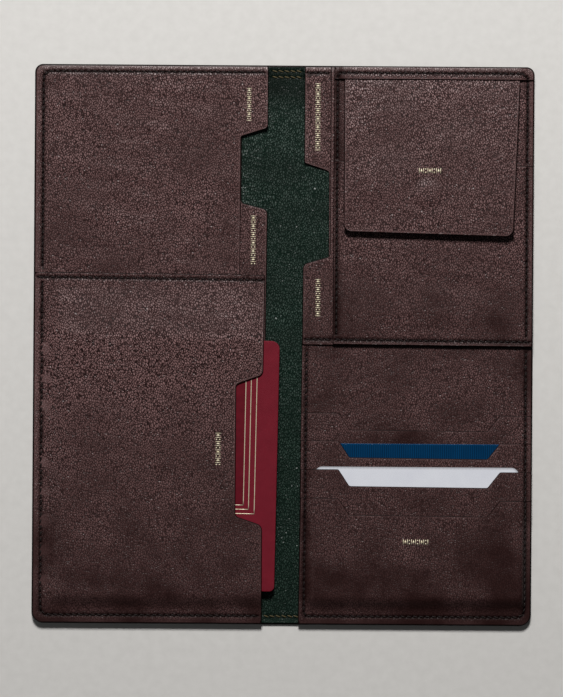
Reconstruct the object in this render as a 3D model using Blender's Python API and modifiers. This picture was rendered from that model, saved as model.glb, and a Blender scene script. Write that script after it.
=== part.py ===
"""Travel document organizer, lying open: two stiffened halves joined by a soft leather spine.

The left half holds tickets, boarding passes and a passport. The right half holds bank notes, a coin
pouch with a snapped flap, and four card slots. All sizes are in millimetres and are scaled to metres
when a piece is made. The origin is on the table under the middle of the spine, +X runs to the right
half, +Y to the top edge and +Z up.
"""

import math

import bmesh
import bpy
from mathutils import Vector

MM = 0.001

# Driving dimensions of the open organizer
HALF_WIDTH = 105.0
HALF_HEIGHT = 117.5
SPINE_EDGE = 8.0
TOP_CORNER = 3.4
BOTTOM_CORNER = 5.0
EDGE_STEP = 0.4
CUT_GAP = 0.3

# Leather, board and card thicknesses
COVER_LEATHER = 1.0
BOARD = 0.4
LINING = 0.3
PANEL = 0.4
SLOT_LEATHER = 0.3
CARD = 0.76
BOOKLET = 2.4
LAYER_GAP = 0.1
SLIDE_GAP = 0.12

# Heights of the layers above the table, from the cover up
BOARD_Z = COVER_LEATHER + LAYER_GAP
LINING_Z = BOARD_Z + BOARD + LAYER_GAP
REAR_PANEL_Z = LINING_Z + LINING + LAYER_GAP
SECOND_PANEL_Z = REAR_PANEL_Z + PANEL + LAYER_GAP

# Left half: booklet and its pocket
BOOKLET_Z = SECOND_PANEL_Z + PANEL + SLIDE_GAP
PASSPORT_PANEL = 0.5
PASSPORT_PANEL_Z = BOOKLET_Z + BOOKLET + SLIDE_GAP
BOOKLET_TIP_X = -1.4
BOOKLET_TOP_Y = 1.6
BOOKLET_WIDTH = 75.0
BOOKLET_HEIGHT = 105.0
BOOKLET_TILT = math.radians(-0.9)

# Right half, lower part: card slots, each with its notch
SLOT_TOPS = (-28.3, -39.9, -51.9, -63.9)
SLOT_NOTCH_DEPTH = 7.0
SLOT_BASE_Z = SECOND_PANEL_Z + SLOT_LEATHER + LAYER_GAP
CARD_WIDTH = 85.6
CARD_HEIGHT = 53.98
CARD_LEFT_X = 13.6
BLUE_CARD_Z = SLOT_BASE_Z + SLOT_LEATHER + SLIDE_GAP
SLOT_2_Z = BLUE_CARD_Z + CARD + SLIDE_GAP
WHITE_CARD_Z = SLOT_2_Z + SLOT_LEATHER + SLIDE_GAP
BLUE_CARD_TOP_Y = SLOT_TOPS[1] - 1.2
WHITE_CARD_TOP_Y = SLOT_TOPS[2] + 1.1
SLOT_3_Z = WHITE_CARD_Z + CARD + SLIDE_GAP
SLOT_4_Z = SLOT_3_Z + SLOT_LEATHER + LAYER_GAP
POCKET_LEFT_X = 12.9
POCKET_RIGHT_X = 100.1

# Right half, upper part: bank notes panel, coin pouch and its flap
HEM_Y = 0.1
BANK_PANEL_Z = SLOT_BASE_Z
BANK_PANEL = 0.5
POUCH_BACK_Z = BANK_PANEL_Z + BANK_PANEL + LAYER_GAP
POUCH_LEATHER = 0.4
POUCH_EDGE_X = 20.8
POUCH_MOUTH_Y = 76.6
COIN_SPACE = 0.5
POUCH_FRONT_Z = POUCH_BACK_Z + POUCH_LEATHER + COIN_SPACE
POUCH_FRONT = 0.5
FLAP_ROOT_Z = POUCH_BACK_Z + POUCH_LEATHER + LAYER_GAP

# Coin flap: it hangs from the top seam and rises towards its snapped end
FLAP_LINING_Z = FLAP_ROOT_Z + 0.6
FLAP_ROOT_Y = 113.2
FLAP_AXIS_X = 62.0
FLAP_AXIS_Y = 112.9
FLAP_AXIS_Z = 5.95
FLAP_TILT = math.radians(2.0)
FLAP_LINING = 0.3
FLAP_LEATHER = 0.9
SNAP_X = 60.0
SNAP_Y = 63.8
STUD_FLANGE_RADIUS = 5.0
STUD_FLANGE = 0.3
STUD_NECK_RADIUS = 1.5
STUD_HEAD_RADIUS = 1.9
STUD_HEIGHT = 1.3
SOCKET_RADIUS = 5.4
SOCKET_BORE = 2.4
SOCKET_HEIGHT = 1.0
CAP_RADIUS = 5.0
CAP_THICKNESS = 0.3
CAP_RECESS = 0.6
LINING_HOLE = SOCKET_RADIUS + CUT_GAP

# Fold of the spine, high enough for both loaded halves to lie face to face
FOLD_AXIS_Z = 6.75

# Seams
THREAD_RADIUS = 0.18
SEAM_X = HALF_WIDTH - 3.6
SEAM_Y = HALF_HEIGHT - 3.6
SEAM_CORNER = 3.0

ARC_STEPS = 4
TURNED_STEPS = 32

LEATHER_COLOR = (0.050, 0.030, 0.028)
LINING_COLOR = (0.012, 0.042, 0.032)
BOARD_COLOR = (0.30, 0.27, 0.22)
THREAD_COLOR = (0.022, 0.014, 0.013)
BOOKLET_COLOR = (0.27, 0.030, 0.060)
PAGE_COLOR = (0.75, 0.72, 0.63)
BLUE_COLOR = (0.004, 0.10, 0.24)
WHITE_COLOR = (0.80, 0.80, 0.83)
NICKEL_COLOR = (0.55, 0.52, 0.48)


def clear_scene():
    for obj in list(bpy.data.objects):
        bpy.data.objects.remove(obj, do_unlink=True)


def new_collection(name):
    collection = bpy.data.collections.new(name)
    bpy.context.scene.collection.children.link(collection)
    return collection


def new_material(name, color, roughness, metallic=0.0):
    material = bpy.data.materials.new(name)
    material.use_nodes = True
    surface = material.node_tree.nodes["Principled BSDF"]
    surface.inputs["Base Color"].default_value = (*color, 1.0)
    surface.inputs["Roughness"].default_value = roughness
    surface.inputs["Metallic"].default_value = metallic
    return material


def corner_arc(before, corner, after, radius):
    """Points of a rounded corner: the arc that touches both sides of the corner."""
    here = Vector(corner)
    back = (Vector(before) - here).normalized()
    ahead = (Vector(after) - here).normalized()
    half_angle = back.angle(ahead) / 2.0
    touch = radius / math.tan(half_angle)
    centre = here + (back + ahead).normalized() * (radius / math.sin(half_angle))
    start = here + back * touch - centre
    turn = math.pi - 2.0 * half_angle
    if back.x * ahead.y - back.y * ahead.x > 0.0:
        turn = -turn
    points = []
    for step in range(ARC_STEPS + 1):
        angle = turn * step / ARC_STEPS
        x = start.x * math.cos(angle) - start.y * math.sin(angle)
        y = start.x * math.sin(angle) + start.y * math.cos(angle)
        points.append((centre.x + x, centre.y + y))
    return points


def rounded_outline(corners):
    """Closed outline from (x, y, radius) corners; a radius of 0 keeps a sharp corner."""
    points = []
    count = len(corners)
    for index, (x, y, radius) in enumerate(corners):
        before = corners[index - 1][:2]
        after = corners[(index + 1) % count][:2]
        if radius > 0.0:
            points.extend(corner_arc(before, (x, y), after, radius))
        else:
            points.append((x, y))
    return points


def mirrored(corners):
    return [(-x, y, radius) for x, y, radius in reversed(corners)]


def mesh_from_curve(curve_object, collection, material):
    """Turn a filled curve into a welded, closed mesh object with the same name."""
    name = curve_object.name
    depsgraph = bpy.context.evaluated_depsgraph_get()
    mesh = bpy.data.meshes.new_from_object(curve_object.evaluated_get(depsgraph))
    place = curve_object.matrix_world.copy()
    bpy.data.objects.remove(curve_object, do_unlink=True)
    shape = bmesh.new()
    shape.from_mesh(mesh)
    bmesh.ops.remove_doubles(shape, verts=shape.verts, dist=0.00001)
    bmesh.ops.recalc_face_normals(shape, faces=shape.faces)
    shape.to_mesh(mesh)
    shape.free()
    solid = bpy.data.objects.new(name, mesh)
    solid.matrix_world = place
    mesh.materials.clear()
    mesh.materials.append(material)
    collection.objects.link(solid)
    return solid


def plate(name, corners, low, thickness, material, collection):
    """Flat sheet of one thickness, cut to a rounded outline."""
    curve = bpy.data.curves.new(name, "CURVE")
    curve.dimensions = "2D"
    curve.fill_mode = "BOTH"
    curve.extrude = thickness / 2.0 * MM
    outline = rounded_outline(corners)
    spline = curve.splines.new("POLY")
    spline.points.add(len(outline) - 1)
    spline.use_cyclic_u = True
    for point, (x, y) in zip(spline.points, outline):
        point.co = (x * MM, y * MM, 0.0, 1.0)
    sheet = bpy.data.objects.new(name, curve)
    sheet.location.z = (low + thickness / 2.0) * MM
    bpy.context.scene.collection.objects.link(sheet)
    bpy.context.view_layer.update()
    return mesh_from_curve(sheet, collection, material)


def turned(name, profile, centre, low, material, collection, ring=False):
    """Turned piece: a profile of (radius, height) swept around a vertical axis."""
    mesh = bpy.data.meshes.new(name)
    vertices = [(radius * MM, 0.0, height * MM) for radius, height in profile]
    edges = [(index, index + 1) for index in range(len(profile) - 1)]
    if ring:
        edges.append((len(profile) - 1, 0))
    mesh.from_pydata(vertices, edges, [])
    piece = bpy.data.objects.new(name, mesh)
    collection.objects.link(piece)
    piece.location = (centre[0] * MM, centre[1] * MM, low * MM)
    screw = piece.modifiers.new("turn", "SCREW")
    screw.axis = "Z"
    screw.steps = TURNED_STEPS
    screw.render_steps = TURNED_STEPS
    screw.use_merge_vertices = True
    screw.merge_threshold = 0.00001
    screw.use_smooth_shade = True
    mesh.materials.append(material)
    return piece


def cut(target, cutter):
    """Take the cutter's volume out of the target."""
    cutter.hide_render = True
    cutter.display_type = "WIRE"
    boolean = target.modifiers.new("cut", "BOOLEAN")
    boolean.operation = "DIFFERENCE"
    boolean.solver = "EXACT"
    boolean.object = cutter


def box_cutter(name, low, high, material, collection):
    corners = [(low[0], low[1], 0.0), (high[0], low[1], 0.0), (high[0], high[1], 0.0), (low[0], high[1], 0.0)]
    return plate(name, corners, low[2], high[2] - low[2], material, collection)


def seam(name, route, height, material, collection):
    """Thread of one seam, lying on the leather along a rounded open route of (x, y, radius)."""
    points = [route[0][:2]]
    for index in range(1, len(route) - 1):
        x, y, radius = route[index]
        points.extend(corner_arc(route[index - 1][:2], (x, y), route[index + 1][:2], radius))
    points.append(route[-1][:2])
    curve = bpy.data.curves.new(name, "CURVE")
    curve.dimensions = "3D"
    curve.bevel_depth = THREAD_RADIUS * MM
    curve.bevel_resolution = 1
    curve.use_fill_caps = True
    spline = curve.splines.new("POLY")
    spline.points.add(len(points) - 1)
    level = height + LAYER_GAP / 2.0 + THREAD_RADIUS
    for point, (x, y) in zip(spline.points, points):
        point.co = (x * MM, y * MM, level * MM, 1.0)
    thread = bpy.data.objects.new(name, curve)
    bpy.context.scene.collection.objects.link(thread)
    bpy.context.view_layer.update()
    return mesh_from_curve(thread, collection, material)


def axis_empty(name, x, y, z, collection):
    empty = bpy.data.objects.new(name, None)
    empty.empty_display_type = "ARROWS"
    empty.empty_display_size = 0.01
    empty.location = (x * MM, y * MM, z * MM)
    collection.objects.link(empty)
    return empty


def attach(pieces, empty):
    """Parent pieces to an empty and leave them where they stand."""
    bpy.context.view_layer.update()
    for piece in pieces:
        piece.parent = empty
        piece.matrix_parent_inverse = empty.matrix_world.inverted()


def half_outline(inner_x, inset, bottom, top):
    """Outline of a right-hand layer that follows the outer edge at an inset."""
    outer_x = HALF_WIDTH - inset
    return [
        (inner_x, bottom, 0.0),
        (outer_x, bottom, BOTTOM_CORNER - inset),
        (outer_x, top, TOP_CORNER - inset),
        (inner_x, top, 0.0),
    ]


def make_covers(leather, parts):
    """Both stiff halves of the cover; the left one, which folds, is returned."""
    inner = SPINE_EDGE + CUT_GAP / 2.0
    outline = half_outline(inner, 0.0, -HALF_HEIGHT, HALF_HEIGHT)
    plate("cover_right", outline, 0.0, COVER_LEATHER, leather, parts)
    return plate("cover_left", mirrored(outline), 0.0, COVER_LEATHER, leather, parts)


def make_cover_spine(leather, parts, cutters):
    """Soft cover strip, with both ends turned back over the ends of the lining."""
    half_width = SPINE_EDGE - CUT_GAP / 2.0
    half_height = HALF_HEIGHT - 0.4
    hem_leather = 0.4
    hem_depth = 5.6
    slot_low = COVER_LEATHER
    slot_high = COVER_LEATHER + LINING + 2.0 * LAYER_GAP
    strip = box_cutter(
        "cover_spine",
        (-half_width, -half_height, 0.0),
        (half_width, half_height, slot_high + hem_leather),
        leather,
        parts,
    )
    slot_half_height = half_height - 0.8
    across = half_width + 1.0
    slot = box_cutter(
        "spine_lining_slot",
        (-across, -slot_half_height, slot_low),
        (across, slot_half_height, slot_high),
        leather,
        cutters,
    )
    open_half_height = half_height - hem_depth
    window = box_cutter(
        "spine_hem_window",
        (-across, -open_half_height, slot_low + 0.2),
        (across, open_half_height, slot_high + 1.0),
        leather,
        cutters,
    )
    cut(strip, slot)
    cut(strip, window)


def make_boards(board, parts):
    """Both stiffener boards; the left one is returned."""
    outline = [(10.0, -112.3, 2.0), (101.5, -112.3, 2.0), (101.5, 112.3, 2.0), (10.0, 112.3, 2.0)]
    plate("board_right", outline, BOARD_Z, BOARD, board, parts)
    return plate("board_left", mirrored(outline), BOARD_Z, BOARD, board, parts)


def make_linings(lining, parts):
    """Linings of both halves and of the spine; the left one is returned."""
    inset = EDGE_STEP + 0.2
    edge_y = HALF_HEIGHT - inset
    outline = half_outline(SPINE_EDGE + CUT_GAP / 2.0, inset, -edge_y, edge_y)
    plate("lining_right", outline, LINING_Z, LINING, lining, parts)
    left = plate("lining_left", mirrored(outline), LINING_Z, LINING, lining, parts)
    half_width = SPINE_EDGE - CUT_GAP
    half_height = HALF_HEIGHT - 1.6
    corners = [
        (-half_width, -half_height, 0.0),
        (half_width, -half_height, 0.0),
        (half_width, half_height, 0.0),
        (-half_width, half_height, 0.0),
    ]
    plate("lining_spine", corners, COVER_LEATHER + LAYER_GAP, LINING, lining, parts)
    return left


def make_left_panels(leather, parts, cutters):
    outer = -(HALF_WIDTH - EDGE_STEP)
    bottom = -(HALF_HEIGHT - EDGE_STEP)
    top = HALF_HEIGHT - EDGE_STEP
    boarding = [
        (outer, bottom, BOTTOM_CORNER - EDGE_STEP),
        (-8.3, bottom, 0.5),
        (-6.9, 56.8, 2.6),
        (-17.9, 59.6, 1.5),
        (-17.9, top, 0.0),
        (outer, top, TOP_CORNER - EDGE_STEP),
    ]
    ticket = [
        (outer, bottom, BOTTOM_CORNER - EDGE_STEP),
        (-18.4, bottom, 0.5),
        (-18.2, 87.4, 0.8),
        (-6.9, 91.0, 2.0),
        (-6.9, top, 0.0),
        (outer, top, TOP_CORNER - EDGE_STEP),
    ]
    passport = [
        (outer, bottom, BOTTOM_CORNER - EDGE_STEP),
        (-8.2, bottom, 0.5),
        (-8.3, -75.6, 3.0),
        (-19.5, -71.8, 2.0),
        (-19.5, -16.6, 2.0),
        (-8.2, -12.6, 3.0),
        (-7.7, 29.3, 0.6),
        (outer, 30.0, 0.0),
    ]
    pieces = [
        plate("boarding_pass_panel", boarding, REAR_PANEL_Z, PANEL, leather, parts),
        plate("ticket_panel", ticket, SECOND_PANEL_Z, PANEL, leather, parts),
    ]
    low = SECOND_PANEL_Z + PANEL + LAYER_GAP
    height = PASSPORT_PANEL_Z + PASSPORT_PANEL - low
    pocket = plate("passport_panel", passport, low, height, leather, parts)
    hollow = box_cutter(
        "passport_pocket_hollow",
        (outer + 4.0, bottom + 4.3, low - 1.0),
        (0.0, 24.9, PASSPORT_PANEL_Z),
        leather,
        cutters,
    )
    cut(pocket, hollow)
    pieces.append(pocket)
    return pieces


def make_bank_panels(leather, parts):
    outer = HALF_WIDTH - EDGE_STEP
    bottom = -(HALF_HEIGHT - EDGE_STEP)
    top = HALF_HEIGHT - EDGE_STEP
    foreign = [
        (8.6, bottom, 0.5),
        (outer, bottom, BOTTOM_CORNER - EDGE_STEP),
        (outer, top, TOP_CORNER - EDGE_STEP),
        (8.4, top, 0.0),
        (8.4, 76.4, 1.2),
        (18.8, 73.0, 1.5),
        (18.8, 29.0, 1.5),
        (8.6, 26.0, 2.0),
    ]
    bank = [
        (8.0, HEM_Y, 0.6),
        (outer, HEM_Y - 0.7, 0.0),
        (outer, top, TOP_CORNER - EDGE_STEP),
        (19.4, top, 0.0),
        (19.4, 37.3, 1.6),
        (8.1, 34.0, 2.6),
    ]
    plate("foreign_notes_panel", foreign, REAR_PANEL_Z, PANEL, leather, parts)
    plate("bank_notes_panel", bank, BANK_PANEL_Z, BANK_PANEL, leather, parts)


def make_coin_pouch(leather, nickel, parts):
    outer = HALF_WIDTH - EDGE_STEP
    top = HALF_HEIGHT - EDGE_STEP
    back = [
        (POUCH_EDGE_X, 1.2, 0.5),
        (outer, 1.0, 0.0),
        (outer, top, TOP_CORNER - EDGE_STEP),
        (POUCH_EDGE_X, top, 0.0),
    ]
    front = [
        (POUCH_EDGE_X, 1.2, 0.5),
        (outer, 1.0, 0.0),
        (outer, POUCH_MOUTH_Y - 0.9, 0.0),
        (POUCH_EDGE_X, POUCH_MOUTH_Y + 0.9, 0.5),
    ]
    root = [
        (POUCH_EDGE_X, FLAP_ROOT_Y, 0.0),
        (outer, FLAP_ROOT_Y, 0.0),
        (outer, top, TOP_CORNER - EDGE_STEP),
        (POUCH_EDGE_X, top, 0.0),
    ]
    rivet_profile = [(0.0, 0.28), (4.0, 0.28), (4.0, 0.0), (0.0, 0.0)]
    head_low = STUD_FLANGE + STUD_HEIGHT - 0.7
    top_z = STUD_FLANGE + STUD_HEIGHT
    stud_profile = [
        (0.0, top_z),
        (STUD_HEAD_RADIUS - 0.5, top_z),
        (STUD_HEAD_RADIUS, top_z - 0.4),
        (STUD_NECK_RADIUS, head_low),
        (STUD_NECK_RADIUS, STUD_FLANGE),
        (STUD_FLANGE_RADIUS, STUD_FLANGE),
        (STUD_FLANGE_RADIUS, 0.0),
        (0.0, 0.0),
    ]
    stud_low = POUCH_FRONT_Z + POUCH_FRONT + LAYER_GAP
    rivet_low = POUCH_BACK_Z + POUCH_LEATHER + LAYER_GAP
    centre = (SNAP_X, SNAP_Y)
    plate("coin_pouch_back", back, POUCH_BACK_Z, POUCH_LEATHER, leather, parts)
    plate("coin_pouch_front", front, POUCH_FRONT_Z, POUCH_FRONT, leather, parts)
    plate("coin_flap_root", root, FLAP_ROOT_Z, POUCH_FRONT, leather, parts)
    turned("snap_stud", stud_profile, centre, stud_low, nickel, parts)
    turned("snap_stud_rivet", rivet_profile, centre, rivet_low, nickel, parts)


def make_coin_flap(leather, lining, nickel, parts, cutters):
    """Flap of two leathers with the snap's socket between them, tilted about its hinge line."""
    outline = [
        (25.0, 47.6, 3.4),
        (96.0, 45.8, 3.4),
        (99.0, 112.6, 0.0),
        (25.0, 112.6, 0.0),
    ]
    lining_outline = [
        (25.6, 48.3, 3.0),
        (95.4, 46.5, 3.0),
        (98.4, 112.3, 0.0),
        (25.6, 112.3, 0.0),
    ]
    leather_low = FLAP_LINING_Z + FLAP_LINING + LAYER_GAP
    flap_lining = plate("coin_flap_lining", lining_outline, FLAP_LINING_Z, FLAP_LINING, lining, parts)
    flap = plate("coin_flap", outline, leather_low, FLAP_LEATHER, leather, parts)
    centre = (SNAP_X, SNAP_Y)
    hole_profile = [(0.0, 2.0), (LINING_HOLE, 2.0), (LINING_HOLE, -2.0), (0.0, -2.0)]
    recess_profile = [(0.0, CAP_RECESS), (LINING_HOLE, CAP_RECESS), (LINING_HOLE, -2.0), (0.0, -2.0)]
    hole = turned("flap_lining_hole", hole_profile, centre, FLAP_LINING_Z, lining, cutters)
    recess = turned("flap_cap_recess", recess_profile, centre, leather_low, leather, cutters)
    cut(flap_lining, hole)
    cut(flap, recess)
    socket_profile = [
        (SOCKET_BORE, SOCKET_HEIGHT),
        (SOCKET_RADIUS, SOCKET_HEIGHT),
        (SOCKET_RADIUS, 0.0),
        (SOCKET_BORE, 0.0),
    ]
    cap_profile = [(0.0, CAP_THICKNESS), (CAP_RADIUS, CAP_THICKNESS), (CAP_RADIUS, 0.0), (0.0, 0.0)]
    cap_low = leather_low + CAP_RECESS - LAYER_GAP - CAP_THICKNESS
    socket_low = cap_low - LAYER_GAP - SOCKET_HEIGHT
    socket = turned("snap_socket", socket_profile, centre, socket_low, nickel, parts, ring=True)
    cap = turned("snap_cap", cap_profile, centre, cap_low, nickel, parts)
    hinge = axis_empty("coin_flap_axis", FLAP_AXIS_X, FLAP_AXIS_Y, FLAP_AXIS_Z, parts)
    attach([flap, flap_lining, socket, cap, hole, recess], hinge)
    hinge.rotation_euler.x = -FLAP_TILT


def slot_outline(top, tongue_bottom, wing_bottom):
    """T-shaped slot leather: wings reach the seams, the tongue reaches down behind the next slot."""
    outer = HALF_WIDTH - EDGE_STEP
    drop = 0.8
    notch = top - SLOT_NOTCH_DEPTH
    return [
        (12.2, wing_bottom, 0.6),
        (12.2, tongue_bottom, 1.0),
        (101.3, tongue_bottom, 1.0),
        (101.3, wing_bottom, 0.6),
        (outer, wing_bottom, 0.0),
        (outer, top - drop, 0.0),
        (91.2, top - drop, 1.2),
        (86.0, notch - drop / 2.0, 1.2),
        (28.2, notch, 1.2),
        (23.6, top, 1.2),
        (8.0, top, 0.0),
        (8.0, wing_bottom, 0.0),
    ]


def full_slot_outline(top):
    """Front slot leather, which runs down to the bottom seam."""
    outer = HALF_WIDTH - EDGE_STEP
    bottom = -(HALF_HEIGHT - EDGE_STEP)
    upper_edge = slot_outline(top, bottom, bottom)[5:11]
    return [(8.0, bottom, 0.5), (outer, bottom, BOTTOM_CORNER - EDGE_STEP)] + upper_edge


def make_card_section(leather, parts, cutters):
    outer = HALF_WIDTH - EDGE_STEP
    bottom = -(HALF_HEIGHT - EDGE_STEP)
    backing = [
        (8.0, bottom, 0.5),
        (outer, bottom, BOTTOM_CORNER - EDGE_STEP),
        (outer, 6.0, 0.0),
        (8.0, 6.0, 0.0),
    ]
    plate("card_backing", backing, SECOND_PANEL_Z, SLOT_LEATHER, leather, parts)
    wing_overlap = 5.0
    tongue_length = 57.0
    slot_heights = (SLOT_BASE_Z, SLOT_2_Z, SLOT_3_Z)
    pocket_floors = (None, SLOT_BASE_Z + SLOT_LEATHER + LAYER_GAP, SLOT_2_Z + SLOT_LEATHER + LAYER_GAP)
    for index in range(3):
        top = SLOT_TOPS[index]
        tongue_bottom = top - tongue_length
        outline = slot_outline(top, tongue_bottom, SLOT_TOPS[index + 1] - wing_overlap)
        name = f"card_slot_{index + 1}"
        upper = slot_heights[index] + SLOT_LEATHER
        floor = pocket_floors[index]
        if floor is None:
            plate(name, outline, slot_heights[index], SLOT_LEATHER, leather, parts)
            continue
        slot = plate(name, outline, floor, upper - floor, leather, parts)
        space = box_cutter(
            f"{name}_space",
            (POCKET_LEFT_X, tongue_bottom + 1.4, floor - 1.0),
            (POCKET_RIGHT_X, top + 5.0, slot_heights[index]),
            leather,
            cutters,
        )
        cut(slot, space)
    plate("card_slot_4", full_slot_outline(SLOT_TOPS[3]), SLOT_4_Z, PANEL, leather, parts)


def make_card(name, top, low, material, parts):
    """Identity-size card with its standard rounded corners."""
    corner = 3.18
    right = CARD_LEFT_X + CARD_WIDTH
    corners = [
        (CARD_LEFT_X, top - CARD_HEIGHT, corner),
        (right, top - CARD_HEIGHT, corner),
        (right, top, corner),
        (CARD_LEFT_X, top, corner),
    ]
    card = plate(name, corners, low, CARD, material, parts)
    slide = axis_empty(f"{name}_slide", CARD_LEFT_X + CARD_WIDTH / 2.0, top - CARD_HEIGHT / 2.0, low, parts)
    attach([card], slide)


def make_booklet(cover_material, page_material, parts, cutters):
    """Booklet: a cover folded around its pages, with its fold deep in the pocket."""
    cover_leather = 0.35
    corner = 3.2
    left = BOOKLET_TIP_X - BOOKLET_WIDTH
    bottom = BOOKLET_TOP_Y - BOOKLET_HEIGHT
    outline = [
        (left, bottom, corner),
        (BOOKLET_TIP_X, bottom, corner),
        (BOOKLET_TIP_X, BOOKLET_TOP_Y, corner),
        (left, BOOKLET_TOP_Y, corner),
    ]
    cover = plate("passport_cover", outline, BOOKLET_Z, BOOKLET, cover_material, parts)
    page_low = BOOKLET_Z + cover_leather
    page_high = BOOKLET_Z + BOOKLET - cover_leather
    throat = box_cutter(
        "passport_page_space",
        (left + 1.0, bottom - 5.0, page_low),
        (BOOKLET_TIP_X + 5.0, BOOKLET_TOP_Y + 5.0, page_high),
        cover_material,
        cutters,
    )
    cut(cover, throat)
    page_outline = [
        (left + 1.0 + LAYER_GAP, bottom + 0.6, 0.5),
        (BOOKLET_TIP_X - 0.6, bottom + 0.6, 2.8),
        (BOOKLET_TIP_X - 0.6, BOOKLET_TOP_Y - 0.6, 2.8),
        (left + 1.0 + LAYER_GAP, BOOKLET_TOP_Y - 0.6, 0.5),
    ]
    page_thickness = page_high - page_low - 2.0 * LAYER_GAP
    pages = plate("passport_pages", page_outline, page_low + LAYER_GAP, page_thickness, page_material, parts)
    slide = axis_empty("passport_slide", BOOKLET_TIP_X, BOOKLET_TOP_Y, BOOKLET_Z, parts)
    attach([cover, pages, throat], slide)
    slide.rotation_euler.z = BOOKLET_TILT
    return slide


def make_left_seams(thread, parts):
    """Threads of the left half's seams, each on the leather it closes."""
    ticket_top = SECOND_PANEL_Z + PANEL
    passport_top = PASSPORT_PANEL_Z + PASSPORT_PANEL
    passport_seam_y = 27.4
    upper = [(-SEAM_X, passport_seam_y + 3.4, 0.0), (-SEAM_X, SEAM_Y, SEAM_CORNER), (-9.0, SEAM_Y, 0.0)]
    lower = [(-SEAM_X, passport_seam_y - 1.6, 0.0), (-SEAM_X, -SEAM_Y, SEAM_CORNER), (-9.5, -SEAM_Y, 0.0)]
    across = [(-103.0, passport_seam_y, 0.0), (-9.0, passport_seam_y, 0.0)]
    return [
        seam("seam_left_upper", upper, ticket_top, thread, parts),
        seam("seam_left_lower", lower, passport_top, thread, parts),
        seam("seam_passport_top", across, passport_top, thread, parts),
    ]


def make_right_seams(thread, parts):
    """Threads of the right half's seams, each on the leather it closes."""
    foreign_top = REAR_PANEL_Z + PANEL
    back_top = POUCH_BACK_Z + POUCH_LEATHER
    pouch_top = POUCH_FRONT_Z + POUCH_FRONT
    root_top = FLAP_ROOT_Z + POUCH_FRONT
    slot_top = SLOT_4_Z + PANEL
    inner_x = POUCH_EDGE_X + 1.4
    low_y = 2.6
    below_mouth = POUCH_MOUTH_Y - 1.5
    above_mouth = POUCH_MOUTH_Y + 2.0
    below_root = FLAP_ROOT_Y - 0.4
    cards = [
        (10.1, SLOT_TOPS[3] - 1.5, 0.0),
        (10.1, -SEAM_Y, 0.6),
        (SEAM_X, -SEAM_Y, SEAM_CORNER),
        (SEAM_X, SLOT_TOPS[3] - 2.4, 0.0),
    ]
    seams = (
        ("seam_foreign_top", [(9.0, SEAM_Y, 0.0), (19.0, SEAM_Y, 0.0)], foreign_top),
        ("seam_pouch_inner_top", [(inner_x, above_mouth, 0.0), (inner_x, below_root, 0.0)], back_top),
        ("seam_pouch_outer_top", [(SEAM_X, above_mouth, 0.0), (SEAM_X, below_root, 0.0)], back_top),
        ("seam_flap_root", [(inner_x, SEAM_Y, 0.0), (SEAM_X, SEAM_Y, 0.0)], root_top),
        ("seam_pouch_outer", [(SEAM_X, low_y, 0.0), (SEAM_X, below_mouth, 0.0)], pouch_top),
        ("seam_pouch_inner", [(inner_x, low_y, 0.0), (inner_x, below_mouth, 0.0)], pouch_top),
        ("seam_pouch_bottom", [(inner_x + 1.2, low_y, 0.0), (SEAM_X - 1.0, low_y, 0.0)], pouch_top),
        ("seam_cards", cards, slot_top),
    )
    for name, route, height in seams:
        seam(name, route, height, thread, parts)


def main():
    clear_scene()
    parts = new_collection("travel_document_organizer")
    cutters = new_collection("cutters")

    leather = new_material("brown_leather", LEATHER_COLOR, 0.55)
    lining = new_material("green_lining", LINING_COLOR, 0.62)
    board = new_material("stiffener_board", BOARD_COLOR, 0.9)
    thread = new_material("thread", THREAD_COLOR, 0.6)
    booklet = new_material("booklet_cover", BOOKLET_COLOR, 0.5)
    pages = new_material("booklet_pages", PAGE_COLOR, 0.8)
    blue = new_material("blue_card", BLUE_COLOR, 0.35)
    white = new_material("white_card", WHITE_COLOR, 0.4)
    nickel = new_material("nickel", NICKEL_COLOR, 0.3, 1.0)

    cover_left = make_covers(leather, parts)
    make_cover_spine(leather, parts, cutters)
    board_left = make_boards(board, parts)
    lining_left = make_linings(lining, parts)
    left_panels = make_left_panels(leather, parts, cutters)
    make_bank_panels(leather, parts)
    make_coin_pouch(leather, nickel, parts)
    make_coin_flap(leather, lining, nickel, parts, cutters)
    make_card_section(leather, parts, cutters)
    make_card("card_blue", BLUE_CARD_TOP_Y, BLUE_CARD_Z, blue, parts)
    make_card("card_white", WHITE_CARD_TOP_Y, WHITE_CARD_Z, white, parts)
    passport_slide = make_booklet(booklet, pages, parts, cutters)
    left_seams = make_left_seams(thread, parts)
    make_right_seams(thread, parts)

    fold = axis_empty("spine_fold_axis", 0.0, 0.0, FOLD_AXIS_Z, parts)
    attach([cover_left, board_left, lining_left] + left_panels + left_seams, fold)
    attach([passport_slide], fold)


main()
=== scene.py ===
import math
import random
import zlib
from itertools import compress

import bpy
import numpy as np
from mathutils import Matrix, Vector, geometry


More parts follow.
